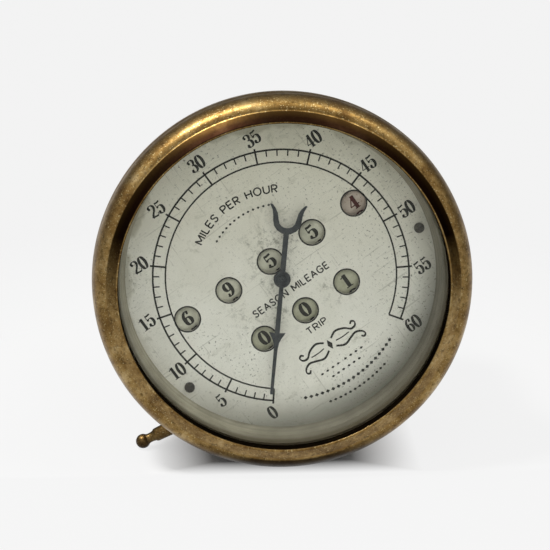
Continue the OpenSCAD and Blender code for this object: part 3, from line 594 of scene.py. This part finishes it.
# A quarter of an ellipse from the ridge out to the widest part of the band
BAND_STEPS = 27
outer_curve = [
    (RIDGE_R + 0.2 + (BEZEL_R - 0.4 - RIDGE_R) * math.sin(math.pi / 2 * k / BAND_STEPS),
     BAND_Z + (RIDGE_Z - 0.05 - BAND_Z) * math.cos(math.pi / 2 * k / BAND_STEPS))
    for k in range(BAND_STEPS + 1)]
lathe("bezel_ring", [
    (OPENING_R, GLASS_TOP + 0.35),
    (OPENING_R, LIP_Z - 0.25),
    *arc(OPENING_R + 0.3, LIP_Z - 0.3, 0.3, 0.3, 170, 90, 5),
    *arc(OPENING_R + 0.55, LIP_Z - 0.2, 0.2, 0.2, 90, 45, 3),
    *arc(RIDGE_R - 0.1, RIDGE_Z - 0.17, 0.22, 0.22, 60, 90, 3),
    *outer_curve,
    (BEZEL_R - 0.2, 7.2),
    (BEZEL_R - 0.05, 6.4),
    (BEZEL_R, 5.5),
    (BEZEL_R - 0.03, 4.2),
    (BEZEL_R - 0.1, 3.0),
    (BEZEL_R - 0.2, 2.0),
    (BEZEL_R - 0.35, 1.0),
    (BEZEL_R - 0.6, -0.2),
    *arc(BEZEL_R - 2.9, -1.4, 2, 2, 0, -90, 12),
    (SEAT_R + 0.05, -3.4),
    (SEAT_R + 0.05, GLASS_TOP + 0.35)],
    "case", "bezel_brass", MATS["bezel_brass"], 256, smooth=40, stands_for=["bezel"])

lathe("glass_pane", [
    (0, GLASS_Z),
    (GLASS_R, GLASS_Z),
    (GLASS_R, GLASS_TOP - 0.7),
    (SEAT_R - 3.6, GLASS_TOP - 0.02),
    (SEAT_R - 4.0, GLASS_TOP),
    (0, GLASS_TOP)],
    "case", "glass", MATS["glass"], smooth=20, stands_for=["glass"])
lathe("glass_gasket", [
    (OPENING_R + 0.35, GLASS_TOP - 0.1),
    (GLASS_R, GLASS_TOP - 0.62),
    (GLASS_R, SEAL_TOP),
    (OPENING_R + 0.35, SEAL_TOP)],
    "case", "seal", MATS["seal"], stands_for=["glass_seal"])

# The wall between dial and glass opens outward, with a small step halfway up
WALL, STEP = OPENING_R + 0.3 - DIAL_EDGE_R, 0.1
lathe("rehaut", [
    (SEAT_IN - 0.05, 0),
    (SEAT_IN - 0.05, GLASS_Z),
    (DIAL_EDGE_R + WALL, GLASS_Z),
    (DIAL_EDGE_R + WALL * 0.55, GLASS_Z * 0.55),
    (DIAL_EDGE_R + WALL * 0.55 + STEP, GLASS_Z * 0.53),
    (DIAL_EDGE_R + WALL * 0.45 + STEP, GLASS_Z * 0.47),
    (DIAL_EDGE_R + WALL * 0.45, GLASS_Z * 0.45),
    (DIAL_EDGE_R, 0)],
    "case", "ring", MATS["ring"], stands_for=["spacer_ring"])

CASE_R, CASE_IN_R, CASE_DEPTH, CASE_ROUND = 44.5, 43.5, 41.0, 2.5
BACK_OPENING_R, BACK_WALL = 40.2, 1.0
lathe("case_can", [
    (SEAT_IN, GLASS_Z - 0.3),
    (SEAT_R, GLASS_Z - 0.3),
    (SEAT_R, -1.7),
    (CASE_R, -2.5),
    *[(CASE_R + 0.12 * math.sin(math.pi * k / 4) ** 2, -34.0 - 0.4 * k) for k in range(5)],
    *arc(CASE_R - CASE_ROUND, -CASE_DEPTH + CASE_ROUND, CASE_ROUND, CASE_ROUND, 0, -90, 10),
    (BACK_OPENING_R, -CASE_DEPTH),
    (BACK_OPENING_R, -CASE_DEPTH + BACK_WALL),
    (CASE_IN_R - 1.5, -CASE_DEPTH + BACK_WALL),
    (CASE_IN_R, -CASE_DEPTH + BACK_WALL + 1.5),
    (CASE_IN_R, -0.5),
    (SEAT_IN, -0.5)],
    "case", "case_brass", MATS["case_brass"], smooth=40, stands_for=["case_shell"])

# ---------- Pointer's cap and reset pull ----------

CAP_Z, CAP_R = 3.65, 2.2
lathe("pointer_boss", [
    (0, CAP_Z),
    (CAP_R, CAP_Z),
    (CAP_R, CAP_Z + 0.45),
    *arc(CAP_R - 0.25, CAP_Z + 0.45, 0.25, 0.25, 0, 90, 5),
    (1.55, CAP_Z + 0.7),
    (1.45, CAP_Z + 0.55),
    (1.2, CAP_Z + 0.55),
    (1.1, CAP_Z + 0.7),
    (0.55, CAP_Z + 0.75),
    (0.5, CAP_Z + 0.6),
    (0.3, CAP_Z + 0.6),
    (0.25, CAP_Z + 0.72),
    (0, CAP_Z + 0.74)],
    "pointer", "blued_steel", MATS["blued_steel"], 64, stands_for=["pointer_cap"])

# The pull's own Z runs outward along its rod, with 0 at the ball's centre
BALL_AT, BALL_R, PULL_DIR, HOOK_Z = (-58.3, -16.95, -5.8), 2.0, 171.0, -37.56
PULL = FACE @ Matrix.Translation(BALL_AT) @ Matrix.Rotation(math.radians(PULL_DIR), 4, "Z") \
    @ Matrix.Rotation(math.radians(90), 4, "Y")
ROD_R, COLLAR_R, COLLAR_BACK, COLLAR_FRONT = 1.5, 2.0, -27.0, -26.0
lathe("reset_pull", [
    (0, HOOK_Z - 5.2),
    (1.8, HOOK_Z - 5.2),
    (1.8, HOOK_Z - 3.3),
    (1.2, HOOK_Z - 0.7),
    (1.2, COLLAR_BACK),
    (COLLAR_R, COLLAR_BACK),
    (COLLAR_R, COLLAR_FRONT),
    (ROD_R, COLLAR_FRONT),
    (ROD_R, -10.9),
    (1.62, -10.7),
    (1.95, -10.45),
    (2.05, -10.1),
    (2.05, -9.6),
    (1.96, -8.0),
    (1.9, -6.0),
    (1.86, -4.2),
    (1.7, -3.75),
    (1.45, -3.4),
    (1.32, -2.7),
    (1.3, -2.0),
    (1.4, -1.5),
    *arc(0, 0, BALL_R, BALL_R, -44, 90, 18)[:-1],
    (0, BALL_R)],
    "reset_stem", "bezel_brass", MATS["bezel_brass"], 64, place=PULL, smooth=40, stands_for=["reset_stem"])

SPRING_FIXED, SPRING_FREE, SPRING_R, WIRE_R, SPRING_TURNS, PULL_TRAVEL = -20.6, -25.9, 2.05, 0.22, 4.5, 4.0


def coil_spring():
    """Wire wound round the reset rod."""
    around, per_turn = 10, 28
    rows = int(SPRING_TURNS * per_turn) + 1
    length = SPRING_FIXED - SPRING_FREE
    verts, faces = [], []
    for i in range(rows):
        turn = 2 * math.pi * i / per_turn
        z = SPRING_FREE + WIRE_R + (length - 2 * WIRE_R) * i / (rows - 1)
        for k in range(around):
            a = 2 * math.pi * k / around
            r = SPRING_R + WIRE_R * math.cos(a)
            verts.append(PULL @ Vector((r * math.cos(turn), r * math.sin(turn), z + WIRE_R * math.sin(a))))
    for i in range(rows - 1):
        for k in range(around):
            m = (k + 1) % around
            faces.append((i * around + k, (i + 1) * around + k, (i + 1) * around + m, i * around + m))
    last = (rows - 1) * around
    faces.append(tuple(range(around)))
    faces.append(tuple(last + k for k in reversed(range(around))))
    slot = slot_of["reset_spring"]
    spring = add_mesh("reset_coil", verts, faces, "case", slot, MATS[slot], 60, ["reset_spring"])
    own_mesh(spring)


coil_spring()

# ---------- Thread on the cable ferrule ----------

FERRULE_R, PITCH, DEPTH = 7.94, 1.0, 0.42
THREAD_FRONT, THREAD_BACK, THREAD_STEP = -46.2, -55.4, 0.125
FERRULE_END, BORE_R, BORE_END = -56.0, 4.2, -50.4
SHAFT_HOLE_R, INNER_END = 3.4, -38.9
FLANGE_R, FLANGE_Z = 10.5, -41.0


def ferrule():
    """Threaded tube with a flange inside the case; the thread runs out softly at both ends."""
    steps, verts, faces = 96, [], []
    rows = int((THREAD_FRONT - THREAD_BACK) / THREAD_STEP) + 1
    for i in range(rows):
        z = THREAD_FRONT - i * THREAD_STEP
        fade = max(0.0, min(1.0, (THREAD_FRONT - z) / 1.2, (z - THREAD_BACK) / 0.9))
        chamfer = 0.5 * max(0.0, 0.5 - (z - THREAD_BACK))
        for k in range(steps):
            turn = (z / PITCH + k / steps) % 1.0
            r = FERRULE_R - 0.04 - DEPTH * fade * (abs(turn - 0.5) * 2) ** 1.2 - chamfer
            a = 2 * math.pi * k / steps
            verts.append(FACE @ Vector((r * math.cos(a), r * math.sin(a), z)))
    rest = ((7.1, FERRULE_END), (BORE_R + 0.15, FERRULE_END), (BORE_R, FERRULE_END + 0.15),
            (BORE_R, BORE_END), (SHAFT_HOLE_R, BORE_END), (SHAFT_HOLE_R, INNER_END),
            (FLANGE_R, INNER_END), (FLANGE_R, FLANGE_Z), (FERRULE_R, FLANGE_Z))
    for r, z in rest:
        for k in range(steps):
            a = 2 * math.pi * k / steps
            verts.append(FACE @ Vector((r * math.cos(a), r * math.sin(a), z)))
    total = rows + len(rest)
    for i in range(total):
        a, b = i * steps, ((i + 1) % total) * steps
        for k in range(steps):
            m = (k + 1) % steps
            faces.append((a + k, b + k, b + m, a + m))
    add_mesh("ferrule_thread", verts, faces, "case", "case_brass", MATS["case_brass"], 30, ["cable_ferrule"])


ferrule()

# ---------- Dial plate ----------

WINDOW_R, SEASON_Y, TRIP_Y = 3.3, 5.2, -11.45
CENTRE_HOLE_R, SCREW_HOLE_R, DIAL_T, DIAL_BEVEL = 0.9, 0.7, 0.5, 0.06
SEASON_X = [(i - 2) * 13.7 for i in range(5)]
TRIP_X = [(i - 1) * 13.6 for i in range(3)]
SCREWS = [(-38.0, -10.6), (38.0, -10.6)]


def flat_plate(name, rings, z, thick, bevel):
    """Plate centred on z, from its outer ring and its holes, each (x, y, r, points)."""
    curve = bpy.data.curves.new(name, "CURVE")
    curve.dimensions, curve.fill_mode = "2D", "BOTH"
    curve.extrude, curve.bevel_depth, curve.bevel_resolution = thick / 2 - bevel, bevel, 1
    for cx, cy, r, n in rings:
        spline = curve.splines.new("POLY")
        spline.points.add(n - 1)
        for k in range(n):
            a = 2 * math.pi * k / n
            spline.points[k].co = (cx + r * math.cos(a), cy + r * math.sin(a), 0, 1)
        spline.use_cyclic_u = True
    return curve_to_mesh(name, curve, FACE @ Matrix.Translation((0, 0, z)))


def curve_to_mesh(name, curve, place):
    temp = bpy.data.objects.new(name + "_curve", curve)
    scene.collection.objects.link(temp)
    bpy.context.view_layer.update()
    mesh = bpy.data.meshes.new_from_object(temp.evaluated_get(bpy.context.evaluated_depsgraph_get()))
    bpy.data.objects.remove(temp)
    mesh.name = name
    mesh.transform(place)
    return bpy.data.objects.new(name, mesh)


windows = [(x, SEASON_Y) for x in SEASON_X] + [(x, TRIP_Y) for x in TRIP_X]
dial_rings = [(0, 0, SEAT_IN - 0.05 - DIAL_BEVEL, 256), (0, 0, CENTRE_HOLE_R + DIAL_BEVEL, 32)]
dial_rings += [(x, y, WINDOW_R + DIAL_BEVEL, 64) for x, y in windows]
dial_rings += [(x, y, SCREW_HOLE_R + DIAL_BEVEL, 24) for x, y in SCREWS]
finish_piece(flat_plate("dial_plate", dial_rings, -DIAL_T / 2, DIAL_T, DIAL_BEVEL),
             "case", "dial_silver", MATS["dial_silver"], 30, ["dial"])

# ---------- Printing on the dial ----------

# The marks stand slightly closer at the slow end: pairs of a speed and its angle, and even steps between
STRETCHES = ((0, 231.4), (10, 187.4), (25, 115.6), (60, -55.3))
ARC_OUT, ARC_IN, ARC_OUT_W, ARC_IN_W = 34.7, 31.3, 0.5, 0.44
LONG_TICK, SHORT_TICK, LONG_TICK_W, SHORT_TICK_W = 0.85, 1.75, 0.5, 0.36
NUMBER_R, NUMBER_SIZE, NUMBER_STEP, TWO_FIGURES_OUT = 38.05, 3.75, 0.585, 0.35
WINDOW_LINE = 0.4


def speed_angle(mph):
    for (slow, start), (fast, end) in zip(STRETCHES, STRETCHES[1:]):
        if mph <= fast:
            return start + (end - start) * (mph - slow) / (fast - slow)


def on_dial(u, v, h):
    return FACE @ Vector((u, v, h))


def polar(r, a):
    return r * math.cos(math.radians(a)), r * math.sin(math.radians(a))


ink = Print(on_dial)
ink.ring(0, 0, ARC_OUT, ARC_OUT_W, speed_angle(60), speed_angle(0))
ink.ring(0, 0, ARC_IN, ARC_IN_W, speed_angle(60), speed_angle(0))
for mph in range(61):
    angle = speed_angle(mph)
    if mph % 5 == 0:
        ink.line(*polar(ARC_IN, angle), *polar(ARC_OUT + LONG_TICK, angle), LONG_TICK_W)
        number = str(mph)
        cx, cy = polar(NUMBER_R + (TWO_FIGURES_OUT if mph >= 10 else 0), angle)
        for i, ch in enumerate(number):
            shift = (i - (len(number) - 1) / 2) * NUMBER_SIZE * NUMBER_STEP
            figure(ink, int(ch), cx + shift, cy, NUMBER_SIZE)
    else:
        ink.line(*polar(ARC_OUT, angle), *polar(ARC_OUT - SHORT_TICK, angle), SHORT_TICK_W)
for x, y in windows:
    ink.ring(x, y, WINDOW_R + WINDOW_LINE / 2, WINDOW_LINE)


def lozenge(x, y, a, long, wide):
    """A diamond at (x, y), turned by a, with blunt ends."""
    c, s, blunt = math.cos(math.radians(a)), math.sin(math.radians(a)), 0.02

    def turn(u, v):
        return (x + u * c - v * s, y + u * s + v * c)

    ink.strip([turn(-long, blunt), turn(0, wide + blunt), turn(long, blunt)],
              [turn(-long, -blunt), turn(0, -wide - blunt), turn(long, -blunt)])


def bent_row(r, middle, step, count, long, wide):
    """Lozenges on a circle round the dial's centre, as many on each side of the middle one."""
    for k in range(-count, count + 1):
        lozenge(*polar(r, middle + k * step), k * step, long, wide)


# Plain ornament below the counters: a scroll and rows of lozenges, and one row under the upper words
UPPER_SCROLL = [(1.2, -21.9), (3.2, -20.9), (5.6, -21.6), (7.2, -22.9), (8.6, -22.7), (9.0, -21.7),
                (8.3, -21.2), (7.7, -21.7)]
LOWER_SCROLL = [(1.2, -24.5), (3.4, -25.6), (5.8, -24.9), (7.6, -24.4), (9.2, -25.1), (9.7, -26.2),
                (9.0, -26.7), (8.4, -26.1)]
MIDDLE_LINE = [(2.0, -23.2), (4.0, -23.4), (6.2, -23.3)]
for side in (-1, 1):
    for points, wide, thin in (
            (UPPER_SCROLL, 0.2, 0.3), (LOWER_SCROLL, 0.2, 0.3), (MIDDLE_LINE, 0.16, 0.16)):
        ink.pen([(side * x, y) for x, y in points], wide, thin)
    for first, step, count, y in ((1.2, 1.75, 4, -28.9), (0.9, 1.7, 3, -31.1)):
        for k in range(count):
            lozenge(side * (first + step * k), y, 0, 0.5, 0.34)
lozenge(0, -23.2, 90, 1.5, 0.7)
bent_row(34.6, -90, 2.65, 9, 0.58, 0.5)
bent_row(37.6, -90, 2.3, 6, 0.5, 0.4)
bent_row(20.0, 90, 4.2, 6, 0.42, 0.34)
ink.make("dial_marks", "case", "dial_silver", INK)


def straight(*points):
    return list(points), False


def bent(*points):
    return list(points), True


STEM, ROUND_STEPS = straight((0, 0), (0, 1)), 16
BOWL = bent((0, 1), (0.34, 0.99), (0.55, 0.86), (0.55, 0.6), (0.34, 0.47), (0, 0.46))
# Plain capitals on a unit height: (width, strokes)
LETTERS = {
    "A": (0.76, [straight((0, 0), (0.38, 1)), straight((0.38, 1), (0.76, 0)),
                 straight((0.13, 0.34), (0.63, 0.34))]),
    "E": (0.56, [STEM, straight((0, 1), (0.56, 1)), straight((0, 0.52), (0.5, 0.52)),
                 straight((0, 0), (0.56, 0))]),
    "G": (0.76, [bent((0.72, 0.8), (0.55, 0.97), (0.3, 0.99), (0.06, 0.78), (0, 0.5), (0.06, 0.22),
                      (0.3, 0.01), (0.56, 0.03), (0.74, 0.2)),
                 straight((0.74, 0.16), (0.74, 0.48)), straight((0.46, 0.48), (0.8, 0.48))]),
    "H": (0.68, [STEM, straight((0.68, 0), (0.68, 1)), straight((0, 0.52), (0.68, 0.52))]),
    "I": (0.0, [STEM]),
    "L": (0.52, [straight((0, 1), (0, 0)), straight((0, 0), (0.52, 0))]),
    "M": (0.84, [STEM, straight((0, 1), (0.42, 0.2)), straight((0.42, 0.2), (0.84, 1)),
                 straight((0.84, 1), (0.84, 0))]),
    "N": (0.7, [STEM, straight((0, 1), (0.7, 0)), straight((0.7, 0), (0.7, 1))]),
    "O": (0.82, [bent(*((0.41 + 0.41 * math.cos(2 * math.pi * k / ROUND_STEPS),
                         0.5 + 0.5 * math.sin(2 * math.pi * k / ROUND_STEPS))
                        for k in range(ROUND_STEPS + 1)))]),
    "P": (0.56, [STEM, BOWL]),
    "R": (0.58, [STEM, BOWL, straight((0.28, 0.46), (0.58, 0))]),
    "S": (0.58, [bent((0.55, 0.82), (0.42, 0.97), (0.2, 0.98), (0.04, 0.8), (0.12, 0.6), (0.4, 0.47),
                      (0.56, 0.28), (0.44, 0.04), (0.2, 0.01), (0.02, 0.17))]),
    "T": (0.64, [straight((0, 1), (0.64, 1)), straight((0.32, 1), (0.32, 0))]),
    "U": (0.66, [bent((0, 1), (0, 0.35), (0.08, 0.1), (0.33, 0), (0.58, 0.1), (0.66, 0.35), (0.66, 1))]),
}


def words(name, text, size, width, y=0.0, bend=None):
    """Generic words of one pen width, level at y or bent round the dial's centre at radius bend."""
    weight, gap, space = 0.097, 0.3, 0.62
    advance = [space if ch == " " else LETTERS[ch][0] + gap for ch in text]
    scale = width / (sum(advance) - gap)
    at = -width / 2

    def put(u, v, h):
        if bend:
            a = math.radians(90) - u / bend
            return on_dial((bend + v) * math.cos(a), (bend + v) * math.sin(a), h)
        return on_dial(u, y - size / 2 + v, h)

    ink = Print(put, 0.025)
    for ch, step in zip(text, advance):
        for points, curved in ([] if ch == " " else LETTERS[ch][1]):
            spots = [(at + u * scale, v * size) for u, v in points]
            ink.pen(spots, weight * size, weight * size, False, 5 if curved else 4)
        at += step * scale
    ink.make(name, "case", "dial_silver", INK)


words("words_speed", "MILES PER HOUR", 2.0, 26.0, bend=23.2)
words("words_season", "SEASON MILEAGE", 1.85, 24.2, -4.4)
words("words_trip", "TRIP", 1.75, 6.0, -16.8)

# ---------- Figures on the drums ----------

DRUM_R, DRUM_DEPTH, DRUM_FIGURE, DRUM_BROAD, DRUM_HEAVY = 8.0, 9.1, 3.95, 1.2, 1.35
SEASON_SHOWN, TRIP_SHOWN = (6, 9, 5, 5, 4), (0, 0, 1)


def drum_figures(name, body, x, y, shown, way, tint):
    """Ten figures round a drum; way is 1 where they follow each other upwards and -1 downwards."""
    ink = Print(None, 0.03, 0.03)
    for digit in range(10):
        turn = way * (digit - shown) * math.radians(36)

        def put(u, v, h, turn=turn):
            a = turn + v / DRUM_R
            r = DRUM_R + h
            return FACE @ Vector((x + u, y + r * math.sin(a), -DRUM_DEPTH + r * math.cos(a)))

        figure(ink, digit, 0, 0, DRUM_FIGURE, put, DRUM_BROAD, DRUM_HEAVY)
    ink.make(name, body, slot_of[body], tint)


for i, (x, shown) in enumerate(zip(SEASON_X, SEASON_SHOWN), 1):
    tenths = i == len(SEASON_SHOWN)
    drum_figures(f"season_figures_{i}", f"season_drum_{i}", x, SEASON_Y, shown, 1,
                 RED_INK if tenths else DRUM_INK)
for i, (x, shown) in enumerate(zip(TRIP_X, TRIP_SHOWN), 1):
    drum_figures(f"trip_figures_{i}", f"trip_drum_{i}", x, TRIP_Y, shown, -1, DRUM_INK)

# ---------- Floor, light and camera ----------

# The camera looks from slightly above and from one side, and its roll stands for the object's roll
ELEVATION, ASIDE, ROLL = 11.81, 3.16, -35.01
CAMERA_SHIFT, CAMERA_FAR, LENS, SENSOR = (-1.71, 0.48), 500, 121.1, 36.0
TURN = Matrix.Rotation(math.radians(ELEVATION), 3, "X") @ Matrix.Rotation(math.radians(ASIDE), 3, "Z") \
    @ Matrix.Rotation(math.radians(ROLL), 3, "Y")
right, ahead, up = TURN[0].copy(), TURN[1].copy(), TURN[2].copy()
dial_centre = FACE @ Vector((0, 0, 0))
cam_data = bpy.data.cameras.new("camera")
cam_data.lens, cam_data.sensor_width = LENS, SENSOR
cam = bpy.data.objects.new("camera", cam_data)
scene.collection.objects.link(cam)
cam_offset = (right * CAMERA_SHIFT[0] - ahead * CAMERA_FAR + up * CAMERA_SHIFT[1]) * MM
cam.matrix_world = Matrix.Translation(dial_centre + cam_offset) @ Matrix(
    (right, up, -ahead)).transposed().to_4x4()
scene.camera = cam

# The table touches the rims of bezel and case, so the object leans back on it
LEAN, TABLE_ROLL = math.radians(8), math.radians(35)
FRONT = Vector((0, -1, 0))
table_side = Vector((math.sin(TABLE_ROLL), 0, math.cos(TABLE_ROLL)))
normal = (table_side * math.cos(LEAN) + FRONT * math.sin(LEAN)).normalized()
lowest = min(normal.dot(v.co) for o in frame["nodes"].values() for v in o.data.vertices)
across = normal.cross(-FRONT).normalized()
along = across.cross(normal)
FLOOR = Matrix((across, along, normal)).transposed().to_4x4()
FLOOR.translation = dial_centre - normal * (normal.dot(dial_centre) - lowest)
FLOOR_R, FLOOR_SIDES = 0.5, 96
PAPER_GLOW = 0.905


def make_floor():
    """White paper that shines by itself away from the object, so that only the near shadow shows."""
    n = Nodes("floor_paper")
    sep = n.add("ShaderNodeSeparateXYZ")
    n.link(n.coord, sep.inputs[0])
    far = n.spread(n.length(sep.outputs["X"], sep.outputs["Y"]), 0.11, 0.2, 0.0, 1.0)
    below = n.add("ShaderNodeNewGeometry").outputs["Backfacing"]
    hide = n.math("MAXIMUM", far, below)
    paper = n.add("ShaderNodeBsdfDiffuse")
    shade = n.ramp(n.noise(60, 3.0, 0.5), [(0.3, (0.45, 0.45, 0.445)), (0.7, (0.46, 0.46, 0.455))])
    n.link(shade, paper.inputs["Color"])
    glow = n.add("ShaderNodeEmission")
    glow.inputs["Color"].default_value = (PAPER_GLOW, PAPER_GLOW, PAPER_GLOW, 1)
    beside = n.spread(n.math("ABSOLUTE", sep.outputs["X"]), 0.019, 0.038, 0.0, 0.93)
    behind = n.spread(sep.outputs["Y"], 0.05, 0.085, 0.0, 0.93)
    before = n.spread(sep.outputs["Y"], -0.0185, -0.0105, 0.97, 0.0)
    lit = n.add("ShaderNodeMixShader")
    n.link(n.math("MAXIMUM", n.math("MAXIMUM", beside, behind), before), lit.inputs["Fac"])
    n.link(paper.outputs[0], lit.inputs[1])
    n.link(glow.outputs[0], lit.inputs[2])
    clear = n.add("ShaderNodeBsdfTransparent")
    mix = n.add("ShaderNodeMixShader")
    n.link(hide, mix.inputs["Fac"])
    n.link(lit.outputs[0], mix.inputs[1])
    n.link(clear.outputs[0], mix.inputs[2])
    n.link(mix.outputs[0], n.out.inputs["Surface"])
    return n.mat


floor_mesh = bpy.data.meshes.new("floor")
corners = [2 * math.pi * k / FLOOR_SIDES for k in range(FLOOR_SIDES)]
floor_mesh.from_pydata([(FLOOR_R * math.cos(a), FLOOR_R * math.sin(a), 0) for a in corners],
                       [], [tuple(range(FLOOR_SIDES))])
floor_mesh.materials.append(make_floor())
floor = bpy.data.objects.new("floor", floor_mesh)
floor.matrix_world = FLOOR
scene.collection.objects.link(floor)

BACKDROP = 0.895


def make_world():
    """Pale backdrop; for light, a bright table below, a dim room and a wide glow above and in front."""
    n = Nodes("studio", world=True)
    glow = (normal * 0.93 + FRONT * 0.36).normalized()

    def facing(direction):
        node = n.add("ShaderNodeVectorMath", operation="DOT_PRODUCT")
        node.inputs[1].default_value = direction
        n.link(n.coord, node.inputs[0])
        return node.outputs["Value"]

    table = n.spread(facing(normal), -0.05, 0.12, 0.75, 0.0)
    room = n.spread(facing(FRONT), -0.3, 0.6, 0.12, 0.22)
    lamp = n.spread(facing(glow), 0.25, 0.95, 0.0, 1.75)
    light = n.math("MAXIMUM", table, n.math("ADD", room, lamp))
    path = n.add("ShaderNodeLightPath")
    seen = n.mix(path.outputs["Is Camera Ray"], (1.0, 1.0, 1.0), (BACKDROP, BACKDROP, BACKDROP))
    back = n.add("ShaderNodeBackground")
    n.link(seen, back.inputs["Color"])
    n.link(n.math("MAXIMUM", light, path.outputs["Is Camera Ray"]), back.inputs["Strength"])
    n.link(back.outputs[0], n.out.inputs["Surface"])
    return n.mat


scene.world = make_world()


def softbox(name, place, size, power):
    """place is (right, ahead, up) in m from the dial's centre, in the camera's directions."""
    data = bpy.data.lights.new(name, "AREA")
    data.size, data.energy = size, power
    light = bpy.data.objects.new(name, data)
    at = dial_centre + right * place[0] + ahead * place[1] + up * place[2]
    facing = (dial_centre - at).to_track_quat("-Z", "Y")
    light.matrix_world = Matrix.Translation(at) @ facing.to_matrix().to_4x4()
    scene.collection.objects.link(light)


softbox("overhead_right", (0.26, -0.24, 0.5), 0.14, 1.4)
softbox("overhead_left", (-0.25, -0.26, 0.52), 0.1, 7.0)
